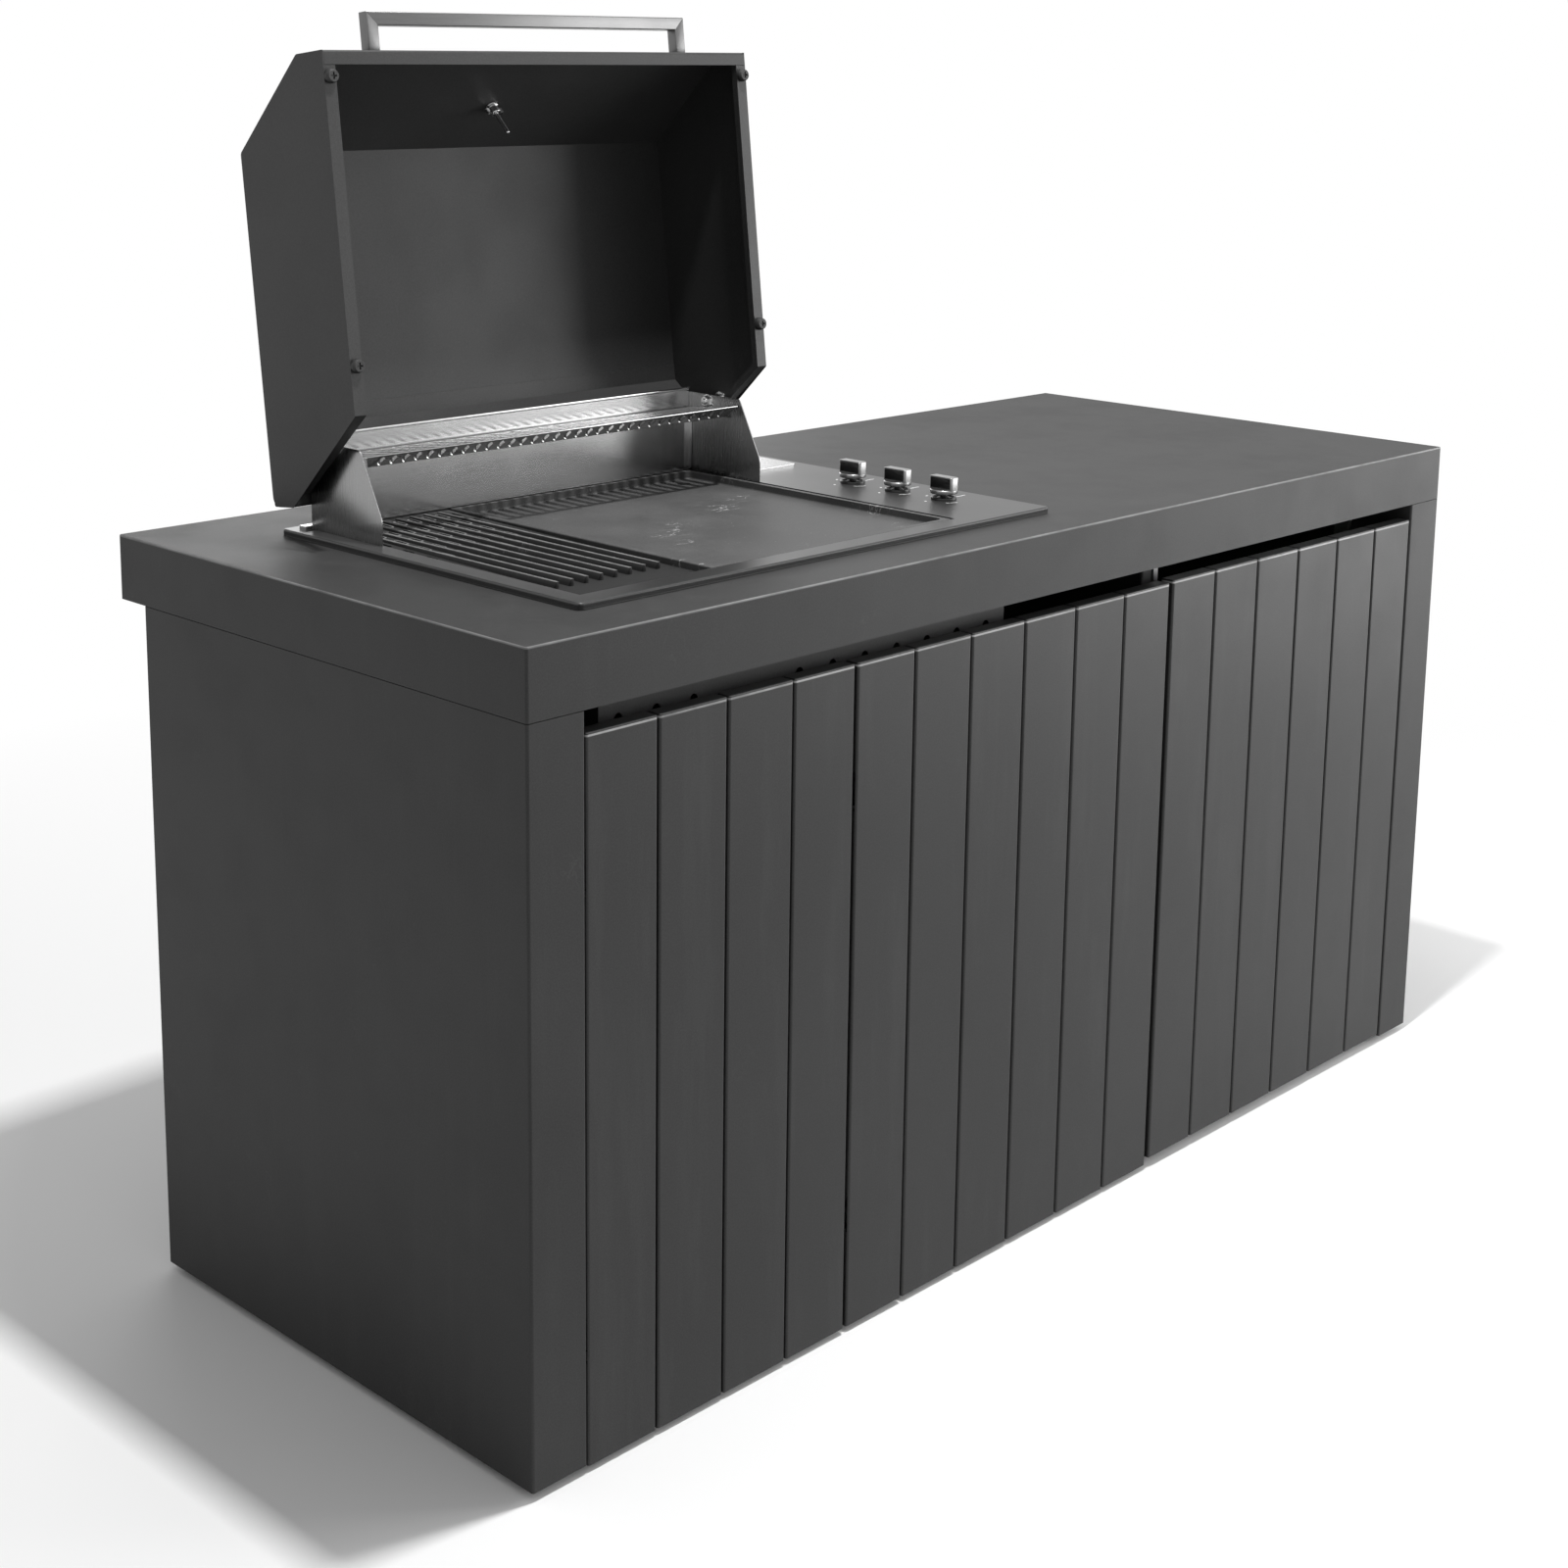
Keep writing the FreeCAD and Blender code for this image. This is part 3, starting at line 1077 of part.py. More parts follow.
def bracket(x, out):
    """Stainless cheek with a raked front edge, a bore for the hood pivot and welded rack tabs."""
    foot = HOB_TOP + 0.1
    points = [(CHEEK_FRONT, foot), (CHEEK_BACK, foot), (CHEEK_BACK, CHEEK_TOP), (CHEEK_TOP_FRONT, CHEEK_TOP),
              (CHEEK_FRONT, CHEEK_RAKE_START)]
    cheek = profile(points, [1, 1, 1.5, 4, 6], on_yz(x), X * out * PLATE_METAL)
    face = x + out * (PLATE_METAL - 0.01)
    path = [(face, TAB_Z - TAB_DROP), (face, TAB_Z), (x + out * (PLATE_METAL + TAB_REACH), TAB_Z)]
    tabs = [folded(path[::-out], PLATE_METAL, 0.8, on_xz(y), Y * run) for y, run in TABS]
    bore = rod(vec(x - 2 * PLATE_METAL, PIVOT_Y, PIVOT_Z), X, PIVOT_RADIUS + RUNNING, 4 * PLATE_METAL)
    return joined([cheek] + tabs).cut(bore)


RACK_SHEET = 1.2
RACK_TOP = RACK_SHELF_Z + 1.0
RACK_FRONT = 476.0
RACK_LIP_FOOT = (488.0, RACK_SHELF_Z - 13.5)
RACK_REAR_FOLD = 560.0
RACK_REAR_FOOT = (BACKSPLASH_Y - 2.8, RACK_SHELF_Z - 8.0)
RACK_SLOT_PITCH = 17.6
RACK_SLOT_HALF = 3.6
RACK_SLOT_ENDS = (482.0, 556.0)
RACK_END_MARGIN = 24.0
WINDOW_HALF = 4.2
WINDOW_SLANT = -50.0
NUT_NOTCH = 9.0


def warming_rack():
    """Perforated shelf between the cheeks: sloping slotted front lip, slotted deck, rear fold."""
    x0, x1 = BRACKET_LEFT + PLATE_METAL + 0.3, BRACKET_RIGHT - PLATE_METAL - 0.3
    path = [RACK_LIP_FOOT, (RACK_FRONT, RACK_TOP), (RACK_REAR_FOLD, RACK_TOP), RACK_REAR_FOOT]
    shelf = folded(path, RACK_SHEET, 0.8, on_yz(x0), X * (x1 - x0))
    count = int((x1 - x0 - RACK_END_MARGIN) / RACK_SLOT_PITCH)
    start = (x0 + x1) / 2 - (count - 1) * RACK_SLOT_PITCH / 2
    front, back = RACK_SLOT_ENDS
    cutters = []
    for k in range(count):
        x = start + k * RACK_SLOT_PITCH
        cutters.append(box(x - RACK_SLOT_HALF, front, RACK_SHELF_Z - 8,
                           x + RACK_SLOT_HALF, back, RACK_TOP + 3))
        window = box(-WINDOW_HALF, -1, -3, WINDOW_HALF, 30, 3)
        window.rotate(vec(0, 0, 0), X, WINDOW_SLANT)
        window.translate(vec(x, RACK_FRONT + 1.5, RACK_SHELF_Z - 6))
        cutters.append(window.common(box(x - 6, RACK_FRONT - 6, RACK_SHELF_Z - 11, x + 6, RACK_FRONT + 13,
                                         RACK_SHELF_Z - 3)))
    for end in (x0, x1):
        cutters.append(box(end - 8, PIVOT_Y - NUT_NOTCH, RACK_SHELF_Z,
                           end + 8, PIVOT_Y + NUT_NOTCH, RACK_TOP + 2))
    return shelf.cut(Part.makeCompound(cutters))


# Hood, drawn shut

FLANGE = 16.0
RIDGE = 9.0
END_PLAY = 0.2


def rim_point(u, w):
    """A point of the hood's side view: u back from the front of the rim, w up from it."""
    return HOOD_FRONT + u, RIM_Z + w


def slope_place(share):
    """The point at a share of the way up the hood's slope."""
    return rim_point(HOOD_SLOPE * share, HOOD_FACE + (HOOD_HEIGHT - HOOD_FACE) * share)


SLOPE_ANGLE = atan2(HOOD_HEIGHT - HOOD_FACE, HOOD_SLOPE)
SLOPE_NORMAL = vec(0, -sin(SLOPE_ANGLE), cos(SLOPE_ANGLE))
THERMO_SHARE = 0.54
THERMO_BORE_RADIUS = 5.0


def hood_shell():
    """Rolled sheet from the front face over the slope and the top to the rear wall."""
    x0, x1 = HOOD_LEFT + HOOD_SHEET + END_PLAY, HOOD_RIGHT - HOOD_SHEET - END_PLAY
    path = [rim_point(FLANGE, 0), rim_point(0, 0), rim_point(0, HOOD_FACE),
            rim_point(HOOD_SLOPE, HOOD_HEIGHT), rim_point(HOOD_LENGTH, HOOD_HEIGHT),
            rim_point(HOOD_LENGTH, HOOD_REAR_Z + 1), rim_point(HOOD_LENGTH - 14, HOOD_REAR_Z + 1)]
    shell = folded(path[::-1], HOOD_SHEET, 2.0, on_yz(x0), X * (x1 - x0))
    y, z = slope_place(THERMO_SHARE)
    return shell.cut(rod(vec(HOOD_CENTRE, y, z) - SLOPE_NORMAL * 10, SLOPE_NORMAL, THERMO_BORE_RADIUS, 20))


def hood_end(left):
    """End cheek of the hood with inward flanges along the rim and the cut-away rear corner."""
    t = HOOD_SHEET
    x = HOOD_LEFT if left else HOOD_RIGHT - t
    corners = [rim_point(0, 0), rim_point(0, HOOD_FACE), rim_point(HOOD_SLOPE, HOOD_HEIGHT),
               rim_point(HOOD_LENGTH, HOOD_HEIGHT), rim_point(HOOD_LENGTH, HOOD_REAR_Z),
               rim_point(RIM_LENGTH, 0)]
    cheek = profile(corners, [1, 6, 6, 12, 6, 2], on_yz(x), X * t)
    inner = x + t if left else x
    reach = X * (FLANGE - t) if left else X * (t - FLANGE)
    rim = [rim_point(FLANGE + 0.6, 0), rim_point(RIM_LENGTH, 0),
           rim_point(HOOD_LENGTH - 15, HOOD_REAR_Z - 11)]
    flange = folded(rim, t, BEND, on_yz(inner), reach)
    ridge = folded(rim, RIDGE, BEND, on_yz(inner + reach.x), X * (-t if left else t))
    return joined([cheek, flange, ridge])


BAFFLE_SHEET = 1.0
BAFFLE_TOP = HOOD_HEIGHT - HOOD_SHEET - 0.1
BAFFLE_LINE = ((400.0, 0.0), (421.0, 0.0), (457.0, 38.0), (457.0, 46.0))


def hood_baffle():
    """Inner plate that slopes from the top skin towards the rear outlet slot."""
    play = HOOD_SHEET + 2 * END_PLAY
    path = [rim_point(u, BAFFLE_TOP - drop) for u, drop in BAFFLE_LINE]
    return folded(path[::-1], BAFFLE_SHEET, 1.5, on_yz(HOOD_LEFT + play), X * (HOOD_WIDTH - 2 * play))


HANDLE_TUBE = 15.5
HANDLE_WIDTH = 493.0
HANDLE_REACH = 38.0
HANDLE_W = 31.0
HANDLE_CORNER_RADIUS = 3.0
HANDLE_EDGE_RADIUS = 1.5


def hood_handle():
    """Square-tube bow handle with mitred rounded corners, standing off the hood's front face."""
    half = HANDLE_WIDTH / 2
    s = HANDLE_TUBE
    r = HANDLE_CORNER_RADIUS
    c = HOOD_CENTRE
    y_face, z_mid = rim_point(0, HANDLE_W)
    y_out = y_face - HANDLE_REACH - s / 2
    points = [(c - half, y_face), (c - half, y_out), (c + half, y_out), (c + half, y_face),
              (c + half - s, y_face), (c + half - s, y_out + s), (c - half + s, y_out + s),
              (c - half + s, y_face)]
    bow = profile(points, [0, r, r, 0, 0, 1, 1, 0], on_xy(z_mid - s / 2), Z * s)
    long_edges = [e for e in bow.Edges
                  if all(near(abs(v.Point.z - z_mid), s / 2) and v.Point.y < y_face - 1 for v in e.Vertexes)
                  and near(e.Vertexes[0].Point.z, e.Vertexes[-1].Point.z)]
    return bow.makeFillet(HANDLE_EDGE_RADIUS, long_edges)


CASE_RADIUS = 31.0
DIAL_RADIUS = 26.5
DIAL_HEIGHT = 10.5
CASE_HEIGHT = 13.0
STEM_LENGTH = 46.0
STEM_THICKNESS = 2.6
WASHER_RADIUS = 9.5
WASHER_HEIGHT = 1.6
NUT_RADIUS = 6.5
NUT_HEIGHT = 11.0


def thermometer_case():
    """Outside case of the thermometer: a stepped round bezel with a sunk dial face."""
    r, h = CASE_RADIUS, CASE_HEIGHT
    half = [(0, 0.1), (r - 2, 0.1), (r, 3), (r, h - 2), (r - 2.5, h), (DIAL_RADIUS, h),
            (DIAL_RADIUS, DIAL_HEIGHT), (0, DIAL_HEIGHT)]
    return turned(half, [0, 1, 1, 2, 0.8, 0, 0, 0])


def thermometer():
    """Dial case outside the slope, with its stem, washer and wing nut on the inside."""
    down = Z * -1
    inside_z = -HOOD_SHEET - 0.1
    nut_z = inside_z - WASHER_HEIGHT + 0.1
    stem = rod(vec(0, 0, 0.1), down, STEM_THICKNESS, STEM_LENGTH)
    washer = rod(vec(0, 0, inside_z), down, WASHER_RADIUS, WASHER_HEIGHT)
    nut = rod(vec(0, 0, nut_z), down, NUT_RADIUS, NUT_HEIGHT)
    wings = [box(x, -1.4, nut_z - 9.4, x + 6, 1.4, nut_z - 1.4) for x in (-11.5, 5.5)]
    placed = Part.makeCompound([thermometer_case(), joined([stem, washer, nut] + wings)])
    y, z = slope_place(THERMO_SHARE)
    placed.rotate(vec(0, 0, 0), X, degrees(SLOPE_ANGLE))
    placed.translate(vec(HOOD_CENTRE, y, z))
    return placed


BUMPER_RADIUS = 8.0
BUMPER_HEIGHT = RIM_Z - HOB_TOP - 0.3
BUMPER_INSET = 8.0
BUMPER_US = (29.0, 349.0)
CROSS_HALF = 4.0
CROSS_DEPTH = 2.0


def bumpers():
    """Four rubber bumpers on the rim, each with a cross recess; the lid rests on them when shut."""
    shapes = []
    r, h = BUMPER_RADIUS, BUMPER_HEIGHT
    for x in (HOOD_LEFT + BUMPER_INSET, HOOD_RIGHT - BUMPER_INSET):
        for u in BUMPER_US:
            bump = turned([(0, 0), (r, 0), (r, -h * 0.5), (r - 1.2, -h), (0, -h)], [0, 0, 1, 1, 0])
            for a, b in ((CROSS_HALF, 1), (1, CROSS_HALF)):
                bump = bump.cut(box(-a, -b, -h - PAST, a, b, CROSS_DEPTH - h))
            y, z = rim_point(u, 0)
            bump.translate(vec(x, y, z))
            shapes.append(bump)
    return Part.makeCompound(shapes)


STUD_FLANGE_RADIUS = 11.0
STUD_FLANGE = 1.6
SPACER_RADIUS = 7.5
PIVOT_NUT_RADIUS = 8.0
PIVOT_NUT = 6.5
STUD_END = 8.0


def pivot_bolts():
    """Hood pivots: a flanged stud inside each hood end that turns in the cheek's bore, with its nut."""
    shapes = []
    for s, wall, cheek in ((1, HOOD_LEFT, BRACKET_LEFT), (-1, HOOD_RIGHT, BRACKET_RIGHT)):
        start = vec(wall + s * HOOD_SHEET, PIVOT_Y, PIVOT_Z)
        to_cheek = abs(cheek - wall) - HOOD_SHEET
        inner = vec(cheek + s * (PLATE_METAL + PLATE_FIT), PIVOT_Y, PIVOT_Z)
        flange = rod(start, X * s, STUD_FLANGE_RADIUS, STUD_FLANGE)
        spacer = rod(start, X * s, SPACER_RADIUS, to_cheek - PLATE_FIT)
        shank = rod(start, X * s, PIVOT_RADIUS, to_cheek + PLATE_METAL + STUD_END)
        nut = rod(inner, X * s, PIVOT_NUT_RADIUS, PIVOT_NUT)
        shapes.append(joined([flange, spacer, shank, nut]))
    return Part.makeCompound(shapes)


def build():
    os.makedirs("parts", exist_ok=True)
    save("bench_top", bench_top())
    save("side_panel_left", side_panel(False))
    save("side_panel_right", side_panel(True))
    save("back_panels", back_panel())
    save("divider_left", divider(DIVIDERS[0], True))
    save("divider_right", divider(DIVIDERS[1], False))
    save("base_shelf", base_shelf())
    save("feet", feet())
    save("bay_frame", bay_frame())
    save("bench_stiffener", stiffener())
    save("heat_shield", heat_shield())
    for door in DOORS:
        save(door.name + "_boards", door_boards(door))
        save(door.name + "_caps", door_caps(door))
        save(door.name + "_rails", door_rails(door))
        save(door.name + "_hinge_leaves", door_leaves(door))
        save(door.name + "_hinge_arms", door_arms(door))
    save("hob_frame", hob_frame())
    save("firebox", firebox())
    save("burners", burners())
    save("valve_bodies", valve_bodies())
    save("gas_manifold", gas_manifold())
    save("supply_tubes", supply_tubes())
    save("knob_bezels", knob_bezels())
    for number, y in enumerate(KNOB_YS, 1):
        save("valve_plug_%d" % number, valve_plug(y))
        save("spindle_%d" % number, spindle(y))
        save("knob_%d" % number, knob(y))
    save("grill_plate", grill_plate())
    save("hot_plate", hot_plate())
    save("drip_tray", drip_tray())
    save("tray_runners", tray_runners())
    save("backsplash", backsplash())
    save("rear_base_plate", rear_base_plate())
    save("bracket_left", bracket(BRACKET_LEFT, 1))
    save("bracket_right", bracket(BRACKET_RIGHT, -1))
    save("warming_rack", warming_rack())
    save("pivot_bolts", pivot_bolts())
    save("hood_shell", swung(hood_shell()))
    save("hood_end_left", swung(hood_end(True)))
    save("hood_end_right", swung(hood_end(False)))
    save("hood_baffle", swung(hood_baffle()))
    save("hood_handle", swung(hood_handle()))
    save("thermometer", swung(thermometer()))
    save("hood_bumpers", swung(bumpers()))


build()
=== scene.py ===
import bmesh
import bpy
import json
from contextlib import contextmanager
from math import atan2, cos, pi, radians, sin
from mathutils import Matrix, Vector


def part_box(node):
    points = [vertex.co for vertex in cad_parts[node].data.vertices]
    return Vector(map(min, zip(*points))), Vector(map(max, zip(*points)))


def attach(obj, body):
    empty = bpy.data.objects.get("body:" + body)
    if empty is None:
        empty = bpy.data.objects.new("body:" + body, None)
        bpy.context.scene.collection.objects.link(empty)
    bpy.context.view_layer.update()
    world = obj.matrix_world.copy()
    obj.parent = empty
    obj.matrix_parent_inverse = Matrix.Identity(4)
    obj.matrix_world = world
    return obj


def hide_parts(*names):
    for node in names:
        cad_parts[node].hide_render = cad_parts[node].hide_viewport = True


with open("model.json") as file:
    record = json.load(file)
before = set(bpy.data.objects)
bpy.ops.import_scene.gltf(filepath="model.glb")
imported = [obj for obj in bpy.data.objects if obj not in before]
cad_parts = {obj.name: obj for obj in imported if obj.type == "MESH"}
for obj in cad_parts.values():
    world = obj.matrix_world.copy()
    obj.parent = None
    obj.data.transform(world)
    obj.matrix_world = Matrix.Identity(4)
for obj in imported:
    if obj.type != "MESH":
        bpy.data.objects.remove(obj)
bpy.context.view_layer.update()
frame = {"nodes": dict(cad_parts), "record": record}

# Blender's lengths are in metres. MM turns the workshop drawing's millimetres into them, and shop() turns
# its points.
MM = 0.001
BENCH_WIDTH = 1750 * MM
BENCH_DEPTH = 735 * MM
BENCH_HEIGHT = 910.0
PLATE_BELOW_FRAME = 0.5 * MM
HOB_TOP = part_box("hot_plate")[1].z + PLATE_BELOW_FRAME


def shop(x, y, z):
    """A point measured in millimetres from the bench's front left foot, as on the workshop drawing."""
    return Vector((x * MM - BENCH_WIDTH / 2, y * MM - BENCH_DEPTH / 2, z * MM))


# Surface effects, shared by the finishes

def effect(name, inputs, outputs):
    """An empty shader group with named sockets, and the sheet to draw it on."""
    tree = bpy.data.node_groups.new(name, "ShaderNodeTree")
    for label, kind, value in inputs:
        socket = tree.interface.new_socket(label, in_out="INPUT", socket_type="NodeSocket" + kind)
        socket.default_value = value
    for label, kind in outputs:
        tree.interface.new_socket(label, in_out="OUTPUT", socket_type="NodeSocket" + kind)
    sheet = Sheet(tree)
    sheet.given = tree.nodes.new("NodeGroupInput").outputs
    sheet.gives = tree.nodes.new("NodeGroupOutput").inputs
    return tree, sheet


class Sheet:
    """Short ways to add and wire shader nodes in one tree."""

    def __init__(self, tree):
        self.nodes = tree.nodes
        self.links = tree.links

    def add(self, kind, **settings):
        node = self.nodes.new("ShaderNode" + kind)
        for key, value in settings.items():
            setattr(node, key, value)
        return node

    def feed(self, socket, value):
        if isinstance(value, bpy.types.NodeSocket):
            self.links.new(value, socket)
        else:
            socket.default_value = value

    def math(self, operation, a, b, c=None):
        node = self.add("Math", operation=operation)
        for socket, value in zip(node.inputs, (a, b, c)):
            if value is not None:
                self.feed(socket, value)
        return node.outputs[0]

    def place(self):
        return self.add("TexCoord").outputs["Object"]

    def stretched(self, where, amounts):
        node = self.add("VectorMath", operation="MULTIPLY")
        self.feed(node.inputs[0], where)
        self.feed(node.inputs[1], amounts)
        return node.outputs[0]

    def scaled(self, colour, amount):
        node = self.add("VectorMath", operation="SCALE")
        self.feed(node.inputs[0], colour)
        self.feed(node.inputs["Scale"], amount)
        return node.outputs[0]

    def noise(self, where, scale, detail=3.0, roughness=0.5):
        node = self.add("TexNoise")
        self.feed(node.inputs["Vector"], where)
        self.feed(node.inputs["Scale"], scale)
        self.feed(node.inputs["Detail"], detail)
        self.feed(node.inputs["Roughness"], roughness)
        return node.outputs["Fac"]

    def cells(self, where, scale):
        node = self.add("TexVoronoi")
        self.feed(node.inputs["Vector"], where)
        self.feed(node.inputs["Scale"], scale)
        return node.outputs["Distance"]

    def ramp(self, value, low, high, to_low=0.0, to_high=1.0):
        node = self.add("MapRange")
        self.feed(node.inputs["Value"], value)
        for label, number in (("From Min", low), ("From Max", high), ("To Min", to_low), ("To Max", to_high)):
            self.feed(node.inputs[label], number)
        return node.outputs["Result"]

    def mix(self, amount, a, b):
        node = self.add("Mix", data_type="RGBA")
        self.feed(node.inputs["Factor"], amount)
        self.feed(node.inputs["A"], a)
        self.feed(node.inputs["B"], b)
        return node.outputs["Result"]


def grey(value):
    return (value, value, value, 1.0)


SURFACE = [("Color", "Color"), ("Roughness", "Float"), ("Height", "Float")]


def powder_coat():
    """Powder coat: orange peel, fine speckle, slow drift of tone, wiped marks that run up and down."""
    tree, s = effect("powder_coat", [("Tone", "Color", grey(0.03)), ("Drift", "Float", 0.12),
                                     ("Wipes", "Float", 0.1), ("Gloss Wear", "Float", 0.06),
                                     ("Base Roughness", "Float", 0.4)], SURFACE)
    drift_scale, speck_scale, peel_scale, cloud_scale = 2.2, 520.0, 480.0, 9.0
    wipe_stretch = (26.0, 26.0, 3.0)
    speck_strength = 0.22
    at = s.place()
    drift = s.ramp(s.noise(at, drift_scale), 0.3, 0.7, -1.0, 1.0)
    speck = s.ramp(s.noise(at, speck_scale, 2.0), 0.3, 0.7, -1.0, 1.0)
    wipe = s.ramp(s.noise(s.stretched(at, wipe_stretch), 1.0, 5.0, 0.62), 0.52, 0.76)
    cloud = s.ramp(s.noise(at, cloud_scale, 5.0, 0.6), 0.45, 0.75)
    level = s.math("MULTIPLY_ADD", drift, s.given["Drift"], 1.0)
    level = s.math("MULTIPLY_ADD", speck, speck_strength, level)
    level = s.math("ADD", level, s.math("MULTIPLY", wipe, s.given["Wipes"]))
    s.feed(s.gives["Color"], s.scaled(s.given["Tone"], level))
    wear_and_highlight = s.math("ADD", cloud, s.math("MULTIPLY", wipe, 0.6))
    rough = s.math("MULTIPLY_ADD", wear_and_highlight, s.given["Gloss Wear"], s.given["Base Roughness"])
    s.feed(s.gives["Roughness"], s.math("MULTIPLY_ADD", drift, 0.02, rough))
    s.feed(s.gives["Height"], s.math("MULTIPLY_ADD", speck, 0.1, s.noise(at, peel_scale, 2.0)))
    return tree


def brushed_lines():
    """Brushed metal: long fine lines along one axis, broader bands along them and finger smudges."""
    tree, s = effect("brushed_lines", [("Tone", "Color", grey(0.5)), ("Grain", "Vector", (1.0, 60.0, 60.0)),
                                       ("Smudge", "Float", 0.2), ("Base Roughness", "Float", 0.3)], SURFACE)
    line_scale, band_scale, smudge_scale = 22.0, 4.0, 12.0
    at = s.place()
    along = s.stretched(at, s.given["Grain"])
    lines = s.noise(along, line_scale, 5.0, 0.65)
    broad = s.noise(along, band_scale, 2.0)
    smudge = s.math("MULTIPLY", s.ramp(s.noise(at, smudge_scale, 4.0, 0.6), 0.45, 0.8), s.given["Smudge"])
    level = s.math("ADD", s.ramp(lines, 0.25, 0.75, 0.93, 1.05), s.ramp(broad, 0.3, 0.7, -0.02, 0.02))
    level = s.math("SUBTRACT", level, s.math("MULTIPLY", smudge, 0.4))
    s.feed(s.gives["Color"], s.scaled(s.given["Tone"], level))
    rough = s.math("ADD", s.given["Base Roughness"], s.ramp(lines, 0.3, 0.7, -0.025, 0.03))
    s.feed(s.gives["Roughness"], s.math("MULTIPLY_ADD", smudge, 0.4, rough))
    s.feed(s.gives["Height"], lines)
    return tree


def cast_grain():
    """Cast iron: open grain and pits, a dry grey bloom in clouds, darker oiled patches."""
    tree, s = effect("cast_grain", [("Tone", "Color", grey(0.03)), ("Bloom", "Float", 0.3),
                                    ("Base Roughness", "Float", 0.5)], SURFACE)
    grain_scale, pit_scale, cloud_scale = 430.0, 620.0, 8.0
    bloom_tone, grain_tone = grey(0.13), grey(0.01)
    at = s.place()
    grain = s.noise(at, grain_scale, 4.0, 0.6)
    pit = s.ramp(s.cells(at, pit_scale), 0.0, 0.3)
    cloud = s.ramp(s.noise(at, cloud_scale, 7.0, 0.68), 0.42, 0.7)
    bloom = s.math("MULTIPLY", cloud, s.given["Bloom"])
    base = s.mix(bloom, s.given["Tone"], bloom_tone)
    s.feed(s.gives["Color"], s.mix(s.ramp(grain, 0.35, 0.7, 0.0, 0.35), base, grain_tone))
    s.feed(s.gives["Roughness"], s.math("MULTIPLY_ADD", cloud, 0.14, s.given["Base Roughness"]))
    s.feed(s.gives["Height"], s.math("MULTIPLY_ADD", grain, 0.7, s.math("MULTIPLY", pit, 0.3)))
    return tree


def dry_marks():
    """A mask of pale crumbs and short scraped lines that lie on a cooking surface or a ledge."""
    tree, s = effect("dry_marks", [("Crumbs", "Float", 0.5), ("Scrapes", "Float", 0.5)], [("Mask", "Float")])
    crumb_scale, spread_scale, patch_scale = 95.0, 6.0, 11.0
    scrape_stretch, scrape_width = (26.0, 60.0, 26.0), 0.012
    at = s.place()
    crumb = s.ramp(s.cells(at, crumb_scale), 0.1, 0.03)
    spread = s.ramp(s.noise(at, spread_scale, 3.0, 0.6), 0.5, 0.62)
    crumbs = s.math("MULTIPLY", s.math("MULTIPLY", crumb, spread), s.given["Crumbs"])
    waves = s.noise(s.stretched(at, scrape_stretch), 1.0, 4.0)
    ridge = s.math("ABSOLUTE", s.math("SUBTRACT", waves, 0.5), 0.0)
    line = s.ramp(ridge, scrape_width, 0.0)
    patch = s.ramp(s.noise(at, patch_scale, 2.0), 0.6, 0.68)
    scrapes = s.math("MULTIPLY", s.math("MULTIPLY", line, patch), s.given["Scrapes"])
    s.feed(s.gives["Mask"], s.math("MAXIMUM", crumbs, scrapes))
    return tree


COAT = powder_coat()
BRUSH = brushed_lines()
CAST = cast_grain()
MARKS = dry_marks()


# Finishes, one for each material slot of the record

RELIEF = 0.15 * MM
MARK_ROUGHNESS = 0.3


def finish(name, tree, values, bump, metallic=0.0, specular=0.5, marks=None, mark_tone=0.3):
    """A material from one surface effect, its values and the shader's own constants."""
    material = bpy.data.materials.new(name)
    material.use_nodes = True
    s = Sheet(material.node_tree)
    shader = s.nodes["Principled BSDF"]
    surface = s.add("Group", node_tree=tree)
    for label, value in values.items():
        surface.inputs[label].default_value = value
    colour, rough = surface.outputs["Color"], surface.outputs["Roughness"]
    if marks:
        dry = s.add("Group", node_tree=MARKS)
        dry.inputs["Crumbs"].default_value, dry.inputs["Scrapes"].default_value = marks
        colour = s.mix(dry.outputs["Mask"], colour, grey(mark_tone))
        rough = s.math("MULTIPLY_ADD", dry.outputs["Mask"], MARK_ROUGHNESS, rough)
    s.feed(shader.inputs["Base Color"], colour)
    s.feed(shader.inputs["Roughness"], rough)
    relief = s.add("Bump")
    relief.inputs["Strength"].default_value = bump
    relief.inputs["Distance"].default_value = RELIEF
    s.feed(relief.inputs["Height"], surface.outputs["Height"])
    s.feed(shader.inputs["Normal"], relief.outputs["Normal"])
    shader.inputs["Metallic"].default_value = metallic
    shader.inputs["Specular IOR Level"].default_value = specular
    return material


def coat_values(tone, rough, drift=0.12, wipes=0.12, wear=0.06):
    return {"Tone": grey(tone), "Drift": drift, "Wipes": wipes, "Gloss Wear": wear, "Base Roughness": rough}


def metal_values(tone, rough, grain, smudge=0.2):
    return {"Tone": tone, "Grain": grain, "Smudge": smudge, "Base Roughness": rough}


def paint(name, values, bump, **settings):
    return finish(name, COAT, values, bump, **settings)


def metal(name, values, bump):
    return finish(name, BRUSH, values, bump, metallic=1.0)


# How finely a brushed grain is drawn along each axis
ALONG_X = (1.0, 60.0, 60.0)
ALONG_Y = (60.0, 1.0, 60.0)
ALONG_Z = (60.0, 60.0, 1.0)
ALL_ROUND = (20.0, 20.0, 20.0)
BRASS_TONE = (0.55, 0.4, 0.17, 1)

